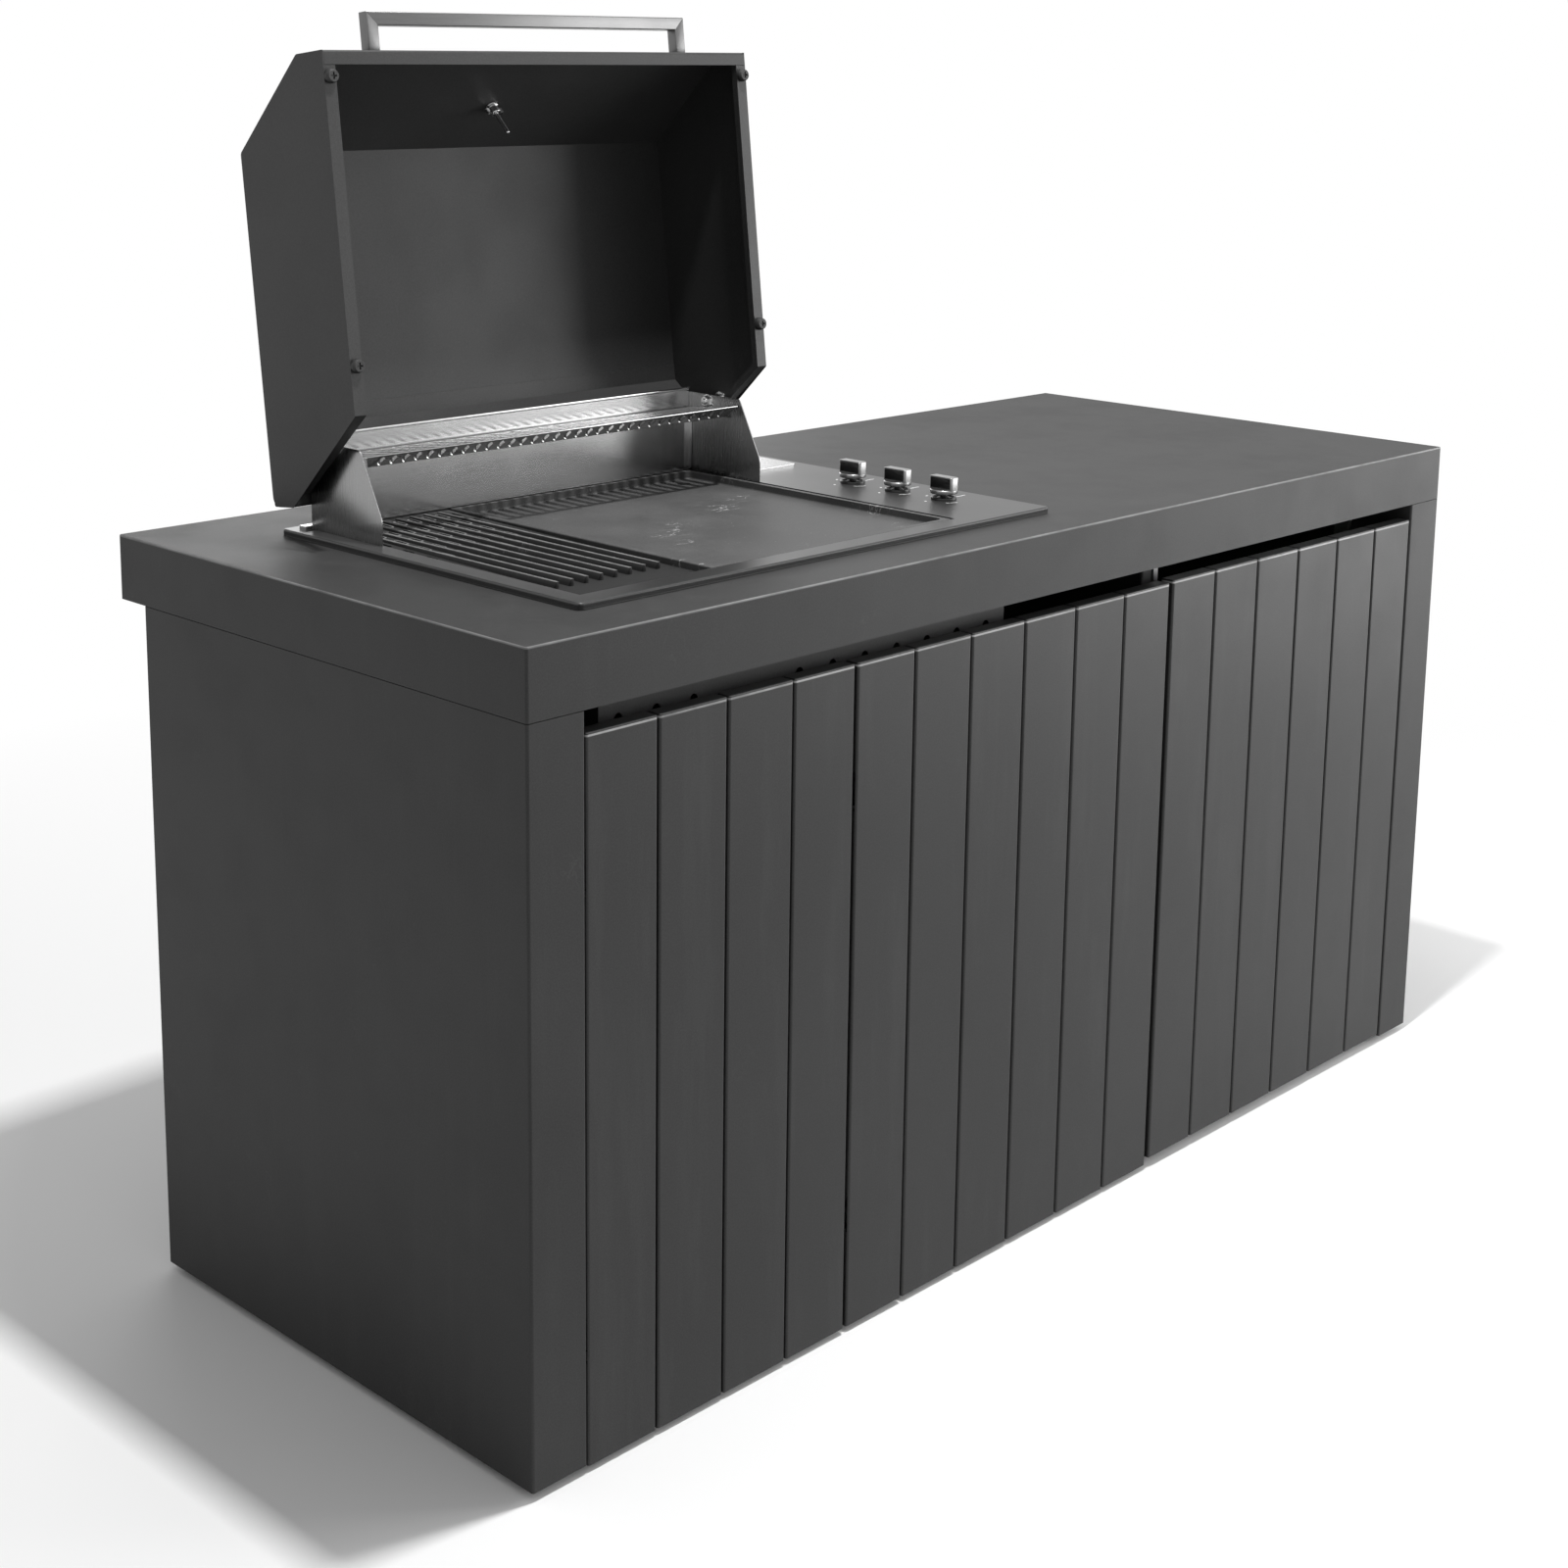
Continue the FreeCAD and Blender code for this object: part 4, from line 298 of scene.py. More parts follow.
FINISHES = {
    "charcoal_paint": paint("charcoal_paint", coat_values(0.021, 0.54, drift=0.32, wipes=0.3), 0.22,
                            specular=0.3, marks=(0.1, 0.14), mark_tone=0.12),
    "board_paint": paint("board_paint", coat_values(0.02, 0.46, drift=0.24, wipes=0.5), 0.2,
                         specular=0.3, marks=(0.06, 0.05), mark_tone=0.12),
    "hob_enamel": paint("hob_enamel", coat_values(0.022, 0.34, wear=0.02), 0.02, specular=0.42),
    "hood_enamel": paint("hood_enamel", coat_values(0.024, 0.42), 0.1, specular=0.3),
    "dark_sheet": paint("dark_sheet", coat_values(0.03, 0.5, drift=0.2), 0.1),
    "bare_steel": metal("bare_steel", metal_values(grey(0.42), 0.38, ALONG_Z, 0.4), 0.1),
    "stainless": metal("stainless", metal_values(grey(0.5), 0.2, ALONG_X, 0.08), 0.006),
    "handle_chrome": metal("handle_chrome", metal_values(grey(0.15), 0.34, ALONG_X, 0.15), 0.02),
    "knob_steel": metal("knob_steel", metal_values(grey(0.3), 0.3, ALONG_Y, 0.1), 0.02),
    "spindle_black": paint("spindle_black", coat_values(0.008, 0.4), 0.1),
    "cast_iron": finish("cast_iron", CAST, {"Tone": grey(0.055), "Bloom": 0.4, "Base Roughness": 0.62}, 0.8,
                        specular=0.35, marks=(0.6, 0.8), mark_tone=0.45),
    "brass": metal("brass", metal_values(BRASS_TONE, 0.4, ALL_ROUND, 0.4), 0.1),
    "aluminium_tube": metal("aluminium_tube", metal_values(grey(0.6), 0.35, ALL_ROUND), 0.1),
    "black_plastic": paint("black_plastic", coat_values(0.01, 0.32), 0.15),
    "black_rubber": paint("black_rubber", coat_values(0.009, 0.6), 0.25),
}


def reworked(name, source):
    """A copy of a finish, with its sheet, its shader, its colour and the height of each point."""
    material = FINISHES[source].copy()
    material.name = name
    s = Sheet(material.node_tree)
    shader = s.nodes["Principled BSDF"]
    split = s.add("SeparateXYZ")
    s.feed(split.inputs[0], s.place())
    return material, s, shader, shader.inputs["Base Color"].links[0].from_socket, split.outputs["Z"]


def ribbed_iron():
    """The grill's iron with painted light: painted shade lower down between the ribs, and a patchy painted
    highlight on the rib tops.
    """
    low_shade_tone, top_highlight_tone, highlight_patch_scale = grey(0.006), grey(0.15), 60.0
    material, s, shader, base, height = reworked("ribbed_iron", "cast_iron")
    # Painted shade lower down between the ribs, and a painted highlight near the rib tops, broken into
    # patches
    groove = s.ramp(height, HOB_TOP - 5 * MM, HOB_TOP - 0.8 * MM)
    crown = s.ramp(height, HOB_TOP - 0.9 * MM, HOB_TOP - 0.2 * MM)
    crown = s.math("MULTIPLY", crown, s.ramp(s.noise(s.place(), highlight_patch_scale, 4.0, 0.6), 0.3, 0.6, 0.45, 1.0))
    dark = s.mix(groove, low_shade_tone, s.scaled(base, 0.6))
    s.feed(shader.inputs["Base Color"], s.mix(crown, dark, top_highlight_tone))
    return material


def painted_edge_highlight(name, source, top, tone):
    """The same paint with a painted highlight: paler, in patches, on the edges that lie just under the height
    top.
    """
    highlight_patch_scale = 14.0
    material, s, shader, base, height = reworked(name, source)
    # Painted highlight: a pale band just under the top edge
    wear_and_highlight = s.math("MULTIPLY", s.ramp(height, top - 2.8 * MM, top - 1.8 * MM),
                  s.ramp(height, top - 0.05 * MM, top - 0.3 * MM))
    patchy = s.ramp(s.noise(s.place(), highlight_patch_scale, 4.0, 0.6), 0.3, 0.6, 0.4, 1.0)
    s.feed(shader.inputs["Base Color"], s.mix(s.math("MULTIPLY", wear_and_highlight, patchy), base, grey(tone)))
    return material


def even_ink(name, tone, roughness):
    """Screen-printed white or the dial's black: an even ink, with a little wear."""
    return paint(name, coat_values(tone, roughness, drift=0.05, wipes=0.03), 0.05)


PRINT_WHITE = even_ink("print_white", 0.8, 0.5)
DIAL_BLACK = even_ink("dial_black", 0.02, 0.4)
# Painted light: a paler copy of the dark sheet, for the light that reaches the shield in the finger gap
SHIELD_SHEET_LIT = paint("shield_sheet_lit", coat_values(0.036, 0.5, drift=0.2), 0.1)
# Painted reflection: a darkened copy of the knob steel for the grip's flat sides
KNOB_FLANK_REFLECTION = metal("knob_flank_reflection", metal_values(grey(0.07), 0.22, ALONG_Y, 0.1), 0.04)
# Painted shade: the cheeks are the same stainless as the rack, with a darker tone
CHEEK_STEEL_SHADED = metal("cheek_steel_shaded", metal_values(grey(0.3), 0.27, ALONG_Z, 0.08), 0.004)
BRIGHT_NUT = metal("bright_nut", metal_values(grey(0.8), 0.12, ALONG_X, 0.1), 0.01)
# Painted highlight: a paler copy of the cast iron for the light outlines round the slots
COLLAR_IRON_LIT = finish("collar_iron_lit", CAST, {"Tone": grey(0.16), "Bloom": 0.3, "Base Roughness": 0.4}, 0.4)

TRAY_EDGE_HIGHLIGHT_TONE = 0.22
DOOR_EDGE_HIGHLIGHT_TONE = 0.4

slots = {part["node"]: part["material_slot"] for part in frame["record"]["subparts"]}
for node_name, node in frame["nodes"].items():
    node.data.materials.clear()
    node.data.materials.append(FINISHES[slots[node_name]])


def repaint(node_name, material):
    frame["nodes"][node_name].data.materials[0] = material


repaint("grill_plate", ribbed_iron())
# Painted highlight along the top edges of the bench top and the doors
repaint("bench_top", painted_edge_highlight("tray_edge_highlight", "charcoal_paint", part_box("bench_top")[1].z, TRAY_EDGE_HIGHLIGHT_TONE))
for door in ("door_left", "door_middle", "door_right"):
    door_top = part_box(door + "_boards")[1].z
    door_edge_highlight = painted_edge_highlight(door + "_edge", "board_paint", door_top, DOOR_EDGE_HIGHLIGHT_TONE)
    for part in ("_boards", "_caps"):
        repaint(door + part, door_edge_highlight)


# Workshop habits: adding, picking, working and handing over a piece

def take(piece):
    """Leaves one piece selected and active."""
    bpy.ops.object.select_all(action="DESELECT")
    piece.select_set(True)
    bpy.context.view_layer.objects.active = piece


def fresh(name):
    """Names the primitive that was just added and puts its place into its mesh."""
    piece = bpy.context.object
    piece.name = name
    piece.data.name = name
    bpy.ops.object.transform_apply(location=True, rotation=True, scale=True)
    return piece


def block(name, low, high):
    """A block between its lowest and highest corners."""
    bpy.ops.object.select_all(action="DESELECT")
    bpy.ops.mesh.primitive_cube_add(size=1, location=(Vector(low) + Vector(high)) / 2)
    bpy.context.object.scale = Vector(high) - Vector(low)
    return fresh(name)


def turned(name, foot, radius, height, sides=48):
    """An upright round piece that stands on the point foot."""
    bpy.ops.object.select_all(action="DESELECT")
    bpy.ops.mesh.primitive_cylinder_add(vertices=sides, radius=radius, depth=height,
                                        location=Vector(foot) + Vector((0, 0, height / 2)))
    return fresh(name)


@contextmanager
def editing(piece):
    take(piece)
    bpy.ops.object.mode_set(mode="EDIT")
    yield
    bpy.ops.object.mode_set(mode="OBJECT")


def pick(piece, kind, test):
    """In edit mode, selects the faces or edges whose middle and direction pass the test."""
    bpy.ops.mesh.select_mode(type=kind)
    bpy.ops.mesh.select_all(action="DESELECT")
    mesh = bmesh.from_edit_mesh(piece.data)
    for item in (mesh.faces if kind == "FACE" else mesh.edges):
        middle = sum((corner.co for corner in item.verts), Vector()) / len(item.verts)
        if kind == "FACE":
            direction = item.normal
        else:
            direction = (item.verts[1].co - item.verts[0].co).normalized()
        item.select_set(bool(test(middle, direction)))
    bmesh.update_edit_mesh(piece.data)


def soften_edges(piece, width, segments, test):
    """Bevels the edges that pass the test."""
    with editing(piece):
        pick(piece, "EDGE", test)
        bpy.ops.mesh.bevel(offset=width, segments=segments, affect="EDGES")


# Tests for pick(): which way an edge runs

def along_x(middle, direction):
    return abs(direction.x) > 0.9


def along_y(middle, direction):
    return abs(direction.y) > 0.9


def upright(middle, direction):
    return abs(direction.z) > 0.9


def lying(middle, direction):
    return abs(direction.z) < 0.1


NEAR = 1e-6


def top_of(piece):
    return max(corner.co.z for corner in piece.data.vertices)


def soften_top(piece, width, segments=2):
    """Bevels the rim of a piece's highest flat face."""
    top = top_of(piece)
    soften_edges(piece, width, segments, lambda m, d: m.z > top - NEAR and lying(m, d))


def stepped(piece, steps):
    """Works the top face of a piece inwards: each step is a width inwards, then a rise or a drop."""
    top = top_of(piece)
    with editing(piece):
        pick(piece, "FACE", lambda m, n: n.z > 0.9 and m.z > top - NEAR)
        for width, rise in steps:
            bpy.ops.mesh.inset(thickness=width)
            if rise:
                bpy.ops.mesh.extrude_region_move(TRANSFORM_OT_translate={"value": (0, 0, rise)})


def apply_all(piece):
    take(piece)
    for modifier in list(piece.modifiers):
        bpy.ops.object.modifier_apply(modifier=modifier.name)


SHARP = radians(40)
SMOOTH = radians(35)


def rounded(piece, width):
    """Rounds every sharp edge in two steps."""
    bevel = piece.modifiers.new("rounded", "BEVEL")
    bevel.width = width
    bevel.segments = 2
    bevel.limit_method = "ANGLE"
    bevel.angle_limit = SHARP
    apply_all(piece)
    return piece


def cut(piece, cutter):
    """Cuts one piece with another, which is used up."""
    saw = piece.modifiers.new("cut", "BOOLEAN")
    saw.operation = "DIFFERENCE"
    saw.solver = "EXACT"
    saw.object = cutter
    apply_all(piece)
    bpy.data.objects.remove(cutter)
    return piece


def twin(piece, offset):
    """A copy with its own mesh, moved by the offset."""
    other = piece.copy()
    other.data = piece.data.copy()
    other.data.transform(Matrix.Translation(offset))
    bpy.context.scene.collection.objects.link(other)
    return other


def moved(piece, matrix):
    piece.data.transform(matrix)
    return piece


def joined(name, pieces):
    """Several meshes as one piece."""
    bpy.ops.object.select_all(action="DESELECT")
    for piece in pieces:
        piece.select_set(True)
    bpy.context.view_layer.objects.active = pieces[0]
    if len(pieces) > 1:
        bpy.ops.object.join()
    pieces[0].name = name
    pieces[0].data.name = name
    return pieces[0]


def repeated(name, piece, offsets):
    """The piece at each offset, as one joined piece; the first model is used up."""
    copies = [twin(piece, Vector(offset)) for offset in offsets]
    bpy.data.objects.remove(piece)
    return joined(name, copies)


def hand_over(piece, body, slot, *nodes, material=None):
    """Shades, paints and hands a finished piece to its body; it stands for the nodes named."""
    take(piece)
    bpy.ops.object.shade_smooth_by_angle(angle=SMOOTH)
    piece.data.materials.clear()
    piece.data.materials.append(material or FINISHES[slot])
    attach(piece, body)
    if nodes:
        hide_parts(*nodes)
    return piece


PIVOT_Y = 538.0
PIVOT_Z = 1014.0
HOOD_PIVOT = shop(0, PIVOT_Y, PIVOT_Z)
OPEN_ANGLE = radians(96.6)


def swing_open():
    """Turns what was modelled on the shut hood to the open hood's place."""
    return (Matrix.Translation(HOOD_PIVOT) @ Matrix.Rotation(-OPEN_ANGLE, 4, "X")
            @ Matrix.Translation(-HOOD_PIVOT))


def standing(place, direction):
    """Takes what was modelled upright at the origin to a place, its top towards the direction."""
    return Matrix.Translation(place) @ Vector(direction).to_track_quat("Z", "Y").to_matrix().to_4x4()


def slab(name, low, high):
    """A block between two corners given on the workshop drawing."""
    return block(name, shop(*low), shop(*high))


def slide_edges(piece, test, offset):
    """Moves the edges that pass the test."""
    with editing(piece):
        pick(piece, "EDGE", test)
        bpy.ops.transform.translate(value=offset)


def foot_of(node):
    """The point under the middle of a part, at its lowest height."""
    low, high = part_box(node)
    return Vector(((low.x + high.x) / 2, (low.y + high.y) / 2, low.z))


# Controls: knobs, the rings under them and the marks printed round them

KNOB_NODES = ("knob_1", "knob_2", "knob_3")
COLLAR_RADIUS = 17.6 * MM
COLLAR_HEIGHT = 5.5 * MM
COLLAR_ROUND = 1.3 * MM
GRIP_SIZE = Vector((7, 18.5, 21.5)) * MM
GRIP_SINK = 0.5 * MM
GRIP_CORNER = 2.6 * MM
GRIP_ROUND = 1.1 * MM
FLANK_PROUD = 0.4 * MM
FLANK_MARGIN = 2.5 * MM
FLANK_CORNER = 0.8 * MM
RING_RADIUS = 16.3 * MM
RING_HEIGHT = 3.6 * MM
RING_ROUND = 1.4 * MM
RING_STEPS = [(1.6 * MM, -1.5 * MM), (6.2 * MM, 0.9 * MM), (1.2 * MM, -1.2 * MM)]
STUDS = 18
STUD_CIRCLE = 10.8 * MM
STUD_RADIUS = 0.95 * MM
STUD_HEIGHT = 1.3 * MM
INK = 0.08 * MM
INK_END = 0.6 * MM
LINE_RADIUS = 26.6 * MM
LINE_START = radians(-98)
LINE_SWEEP = radians(36)
DOT_RADIUS = 1.6 * MM
DOT_PLACES = ((1, 29, 0), (-28, 6, 0))


def knob():
    """Thin round collar with a straight grip bar across it, modelled at the origin."""
    collar = turned("collar", (0, 0, 0), COLLAR_RADIUS, COLLAR_HEIGHT, 72)
    soften_edges(collar, COLLAR_ROUND, 3, lying)
    grip = block("grip", (-GRIP_SIZE.x, -GRIP_SIZE.y, COLLAR_HEIGHT - GRIP_SINK), GRIP_SIZE)
    soften_edges(grip, GRIP_CORNER, 5, upright)
    soften_top(grip, GRIP_ROUND, 3)
    return joined("knob", [collar, grip])


def grip_flank_reflections():
    """Dark panels along both sides of the grip bar: a painted reflection of the dark surroundings mirrored in
    its flat sides.
    """
    panels = []
    for side in (-1, 1):
        x = side * GRIP_SIZE.x
        panel = block("flank", (x - FLANK_PROUD, FLANK_MARGIN - GRIP_SIZE.y, COLLAR_HEIGHT + 1.2 * MM),
                      (x + FLANK_PROUD, GRIP_SIZE.y - FLANK_MARGIN, GRIP_SIZE.z - 1.6 * MM))
        soften_edges(panel, FLANK_CORNER, 3, along_x)
        soften_edges(panel, 0.25 * MM, 2, lambda m, d: abs(m.x) > abs(x) + 0.3 * MM and abs(d.x) < 0.1)
        panels.append(panel)
    return joined("grip_flank_reflections", panels)


def control_ring():
    """Black ring: rounded outer lip, a sunk seat with a circle of studs, and a low inner collar."""
    ring = turned("ring", (0, 0, 0), RING_RADIUS, RING_HEIGHT, 72)
    soften_top(ring, RING_ROUND, 4)
    stepped(ring, RING_STEPS)
    stud = turned("stud", (STUD_CIRCLE, 0, RING_HEIGHT - 1.6 * MM), STUD_RADIUS, STUD_HEIGHT, 12)
    soften_top(stud, 0.5 * MM)
    studs = [moved(twin(stud, (0, 0, 0)), Matrix.Rotation(2 * pi * k / STUDS, 4, "Z")) for k in range(STUDS)]
    bpy.data.objects.remove(stud)
    return joined("control_ring", [ring] + studs)


def stroke(name, low, high):
    """A printed bar with round ends."""
    bar = block(name, low, high)
    soften_edges(bar, INK_END, 4, upright)
    return bar


def curved_stroke(name):
    """A printed line that runs round a control."""
    bar = block(name, (LINE_RADIUS - INK_END, -0.3 * MM, 0), (LINE_RADIUS + INK_END, 0, INK))
    with editing(bar):
        pick(bar, "FACE", lambda m, n: n.y > 0.9)
        bpy.ops.mesh.spin(steps=14, angle=LINE_SWEEP, center=(0, 0, 0), axis=(0, 0, 1))
        bpy.ops.mesh.select_all(action="SELECT")
        bpy.ops.mesh.remove_doubles(threshold=NEAR)
        bpy.ops.mesh.normals_make_consistent(inside=False)
    return moved(bar, Matrix.Rotation(LINE_START, 4, "Z"))


def printed_marks():
    """White marks round one control: a bar beside it, a curved line in front of it and two dots."""
    bar = stroke("bar", Vector((24, -1.7, 0)) * MM, Vector((41, -0.4, 0)) * MM + Vector((0, 0, INK)))
    dots = [turned("dot", Vector(place) * MM, DOT_RADIUS, INK, 24) for place in DOT_PLACES]
    return joined("marks", [bar, curved_stroke("line")] + dots)


knob_model, flank_model, ring_model, marks_model = knob(), grip_flank_reflections(), control_ring(), printed_marks()
rings, marks = [], []
for node_name in KNOB_NODES:
    foot = foot_of(node_name)
    on_deck = Vector((foot.x, foot.y, HOB_TOP))
    piece = twin(knob_model, foot)
    piece.name = piece.data.name = "dressed_" + node_name
    hand_over(piece, node_name, "knob_steel", node_name)
    flanks = twin(flank_model, foot)
    flanks.name = flanks.data.name = "flanks_" + node_name
    # The dark flank panels are a painted reflection
    hand_over(flanks, node_name, "knob_steel", material=KNOB_FLANK_REFLECTION)
    rings.append(twin(ring_model, on_deck))
    marks.append(twin(marks_model, on_deck))
for model in (knob_model, flank_model, ring_model, marks_model):
    bpy.data.objects.remove(model)
hand_over(joined("control_rings", rings), "bench", "black_plastic", "knob_bezels")
hand_over(joined("control_marks", marks), "bench", "hob_enamel", material=PRINT_WHITE)


# Warming rack, backsplash and cheeks

CHEEK_LEFT = 159.5
CHEEK_RIGHT = 768.5
CHEEK_SHEET = 1.5
CHEEK_FOOT = 918.1
CHEEK_TOP = 1023.0
CHEEK_FRONT = 441.0
CHEEK_CORNER = 4 * MM
RAKE_START = 29.0
RAKE_END = 480.0
# The tabs that carry the rack: distance from the front, and length
TABS = ((494, 18), (549.5, 10))
TAB_REACH = 14.0
LEG_SHEET = 1.2
LEG_DROP = 15.0
SPLASH_FACE = 575.0
SPLASH_BACK = 576.3
SPLASH_TOP = 1029.4
SPLASH_FOOT = CHEEK_FOOT + 0.1
HEM_DEPTH = 1.9
HEM_HEIGHT = 4.2
RETURN_SHEET = 1.2
RETURN_DEPTH = 7.0
SHEET_ROUND = 0.3 * MM
RACK_EDGE = (476.0, 1015.0)
RACK_REAR = (571.0, 1003.0)
RACK_SHEET = 1.2
LIP_BACK = 12.0
LIP_DROP = 14.5
LIP_SHORT = 6.0
LIP_TAPER = 9.0
RACK_ROUND = 0.25 * MM
SLOT_PITCH = 17.6
SLOTS = 33
SLOT_HALF = 3.6
SLOT_FRONT = 483.0
SLOT_REAR = 563.0
SLOT_CUT = (990.0, 1020.0)
NOTCH_HALF = 9.5
NOTCH_DEEP = 8.0
WINDOW_HALF = Vector((3.4, 12, 4.4)) * MM
WINDOW_PLACE = (6.5, -7.4)
WINDOW_LEAN = radians(34)
TONGUE_HALF = Vector((2.6, 0.4, 4.2)) * MM
TONGUE_CORNER = 1.8 * MM
TONGUE_PLACE = (11.5, -9.6)
TONGUE_TILT = radians(-30)


def shelf_height(y):
    """Height of the rack's sloping deck at a distance from the front."""
    share = (y - RACK_EDGE[0]) / (RACK_REAR[0] - RACK_EDGE[0])
    return RACK_EDGE[1] + share * (RACK_REAR[1] - RACK_EDGE[1])


def warming_rack():
    """Slotted deck that slopes to the back, a slanting lip with windows in front and a rear fold."""
    x0, x1 = CHEEK_LEFT + CHEEK_SHEET + 0.3, CHEEK_RIGHT - CHEEK_SHEET - 0.3
    front, top = RACK_EDGE
    back, low = RACK_REAR
    fall = low - top
    deck = slab("deck", (x0, front, top - RACK_SHEET), (x1, back, top))
    front_y = shop(0, front, 0).y
    soften_edges(deck, LIP_SHORT * MM, 1, lambda m, d: upright(m, d) and m.y < front_y + MM)
    rear_y = shop(0, back, 0).y
    slide_edges(deck, lambda m, d: along_x(m, d) and m.y > rear_y - MM, (0, 0, fall * MM))
    lip = slab("lip", (x0 + LIP_SHORT, front, top - LIP_DROP),
               (x1 - LIP_SHORT, front + RACK_SHEET, top - 0.2))
    lip_z = shop(0, 0, top - LIP_DROP).z
    slide_edges(lip, lambda m, d: along_x(m, d) and m.z < lip_z + MM, (0, LIP_BACK * MM, 0))
    for end, inwards in ((x0 + LIP_SHORT, LIP_TAPER), (x1 - LIP_SHORT, -LIP_TAPER)):
        end_x = shop(end, 0, 0).x
        slide_edges(lip, lambda m, d: abs(m.x - end_x) < MM and m.z < lip_z + MM and along_y(m, d),
                    (inwards * MM, 0, 0))
    fold = slab("fold", (x0, back - RACK_SHEET, low - 8), (x1, back, low - 0.3))
    slide_edges(fold, lambda m, d: along_x(m, d) and m.z < shop(0, 0, low - 7).z, (0, 1.6 * MM, 0))
    first = (x0 + x1) / 2 - (SLOTS - 1) / 2 * SLOT_PITCH
    cutters = []
    for k in range(SLOTS):
        x = first + k * SLOT_PITCH
        cutters.append(slab("slot", (x - SLOT_HALF, SLOT_FRONT, SLOT_CUT[0]),
                            (x + SLOT_HALF, SLOT_REAR, SLOT_CUT[1])))
    deck = cut(deck, joined("slots", cutters))
    for end in (x0, x1):
        deck = cut(deck, slab("notch", (end - NOTCH_DEEP, PIVOT_Y - NOTCH_HALF, 1000),
                              (end + NOTCH_DEEP, PIVOT_Y + NOTCH_HALF, 1020)))
    lean = Matrix.Rotation(WINDOW_LEAN, 4, "Y")
    tilt = Matrix.Rotation(TONGUE_TILT, 4, "X")
    window_model = block("window", -WINDOW_HALF, WINDOW_HALF)
    tongue_model = block("tongue", -TONGUE_HALF, TONGUE_HALF)
    soften_edges(tongue_model, TONGUE_CORNER, 3, along_y)
    windows, tongues = [], []
    for k in range(SLOTS - 1):
        x = first + (k + 0.5) * SLOT_PITCH
        place = shop(x, front + WINDOW_PLACE[0], top + WINDOW_PLACE[1])
        windows.append(moved(twin(window_model, (0, 0, 0)), Matrix.Translation(place) @ lean))
        place = shop(x - 0.6, front + TONGUE_PLACE[0], top + TONGUE_PLACE[1])
        tongues.append(moved(twin(tongue_model, (0, 0, 0)), Matrix.Translation(place) @ lean @ tilt))
    for model in (window_model, tongue_model):
        bpy.data.objects.remove(model)
    lip = cut(lip, joined("windows", windows))
    return rounded(joined("slotted_rack", [deck, lip, fold] + tongues), RACK_ROUND)


def backsplash():
    """Upright sheet with a hem along its top and narrow returns beside the cheeks."""
    x0, x1 = CHEEK_LEFT + CHEEK_SHEET + 0.2, CHEEK_RIGHT - CHEEK_SHEET - 0.2
    sheet = slab("sheet", (x0, SPLASH_FACE, SPLASH_FOOT), (x1, SPLASH_BACK, SPLASH_TOP - 1))
    hem = slab("hem", (x0, SPLASH_FACE - HEM_DEPTH, SPLASH_TOP - HEM_HEIGHT), (x1, SPLASH_BACK, SPLASH_TOP))
    soften_edges(hem, 1.2 * MM, 4, along_x)
    returns = []
    for left in (x0, x1 - RETURN_SHEET):
        strip = slab("return", (left, SPLASH_FACE - RETURN_DEPTH, SPLASH_FOOT),
                     (left + RETURN_SHEET, SPLASH_FACE + 0.5, RACK_REAR[1] - 9))
        returns.append(rounded(strip, SHEET_ROUND))
    return joined("hemmed_backsplash", [sheet, hem] + returns)


def between(name, x_a, x_b, front, low, back, high):
    """A block between two places across the bench, given in either order."""
    return slab(name, (min(x_a, x_b), front, low), (max(x_a, x_b), back, high))


def cheek(name, x, inwards):
    """Side cheek with a raked front edge, rounded corners and two tabs that carry the rack."""
    plate = between(name, x, x + inwards * CHEEK_SHEET, CHEEK_FRONT, CHEEK_FOOT, SPLASH_BACK, CHEEK_TOP)
    with editing(plate):
        bpy.ops.mesh.select_all(action="SELECT")
        foot_of_rake = shop(0, CHEEK_FRONT, CHEEK_FOOT + RAKE_START)
        rake = shop(0, RAKE_END, CHEEK_TOP) - foot_of_rake
        bpy.ops.mesh.bisect(plane_co=foot_of_rake, plane_no=(0, -rake.z, rake.y), use_fill=True,
                            clear_outer=True, clear_inner=False)
    foot_z = shop(0, 0, CHEEK_FOOT).z
    soften_edges(plate, CHEEK_CORNER, 5, lambda m, d: along_x(m, d) and m.z > foot_z + 10 * MM)
    rounded(plate, SHEET_ROUND)
    tabs = []
    start = x + inwards * CHEEK_SHEET / 2
    for y, run in TABS:
        top = shelf_height(y) - RACK_SHEET - 0.1
        tab = between("tab", start, x + inwards * (CHEEK_SHEET + TAB_REACH), y, top - CHEEK_SHEET,
                      y + run, top)
        tab_back = shop(0, y + run, 0).y
        drop = shelf_height(y + run) - shelf_height(y)
        slide_edges(tab, lambda m, d: along_x(m, d) and m.y > tab_back - MM, (0, 0, drop * MM))
        tabs.append(rounded(tab, SHEET_ROUND))
        leg = between("leg", start, x + inwards * (CHEEK_SHEET + LEG_SHEET), y, top - LEG_DROP,
                      y + run, top - CHEEK_SHEET)
        tabs.append(rounded(leg, SHEET_ROUND))
    return joined(name, [plate] + tabs)


hand_over(warming_rack(), "bench", "stainless", "warming_rack")
hand_over(backsplash(), "bench", "stainless", "backsplash")
# The cheeks carry the darker stainless: painted shade
hand_over(cheek("left_cheek", CHEEK_LEFT, 1), "bench", "stainless", "bracket_left", material=CHEEK_STEEL_SHADED)
hand_over(cheek("right_cheek", CHEEK_RIGHT, -1), "bench", "stainless", "bracket_right", material=CHEEK_STEEL_SHADED)


# Hood fittings: pivots, handle and thermometer

HOOD_LEFT = 136.0
HOOD_RIGHT = 792.0
HOOD_FRONT = 90.0
HOOD_RIM = 925.6
HOOD_SHEET = 1.2
HOOD_CENTRE = (HOOD_LEFT + HOOD_RIGHT) / 2

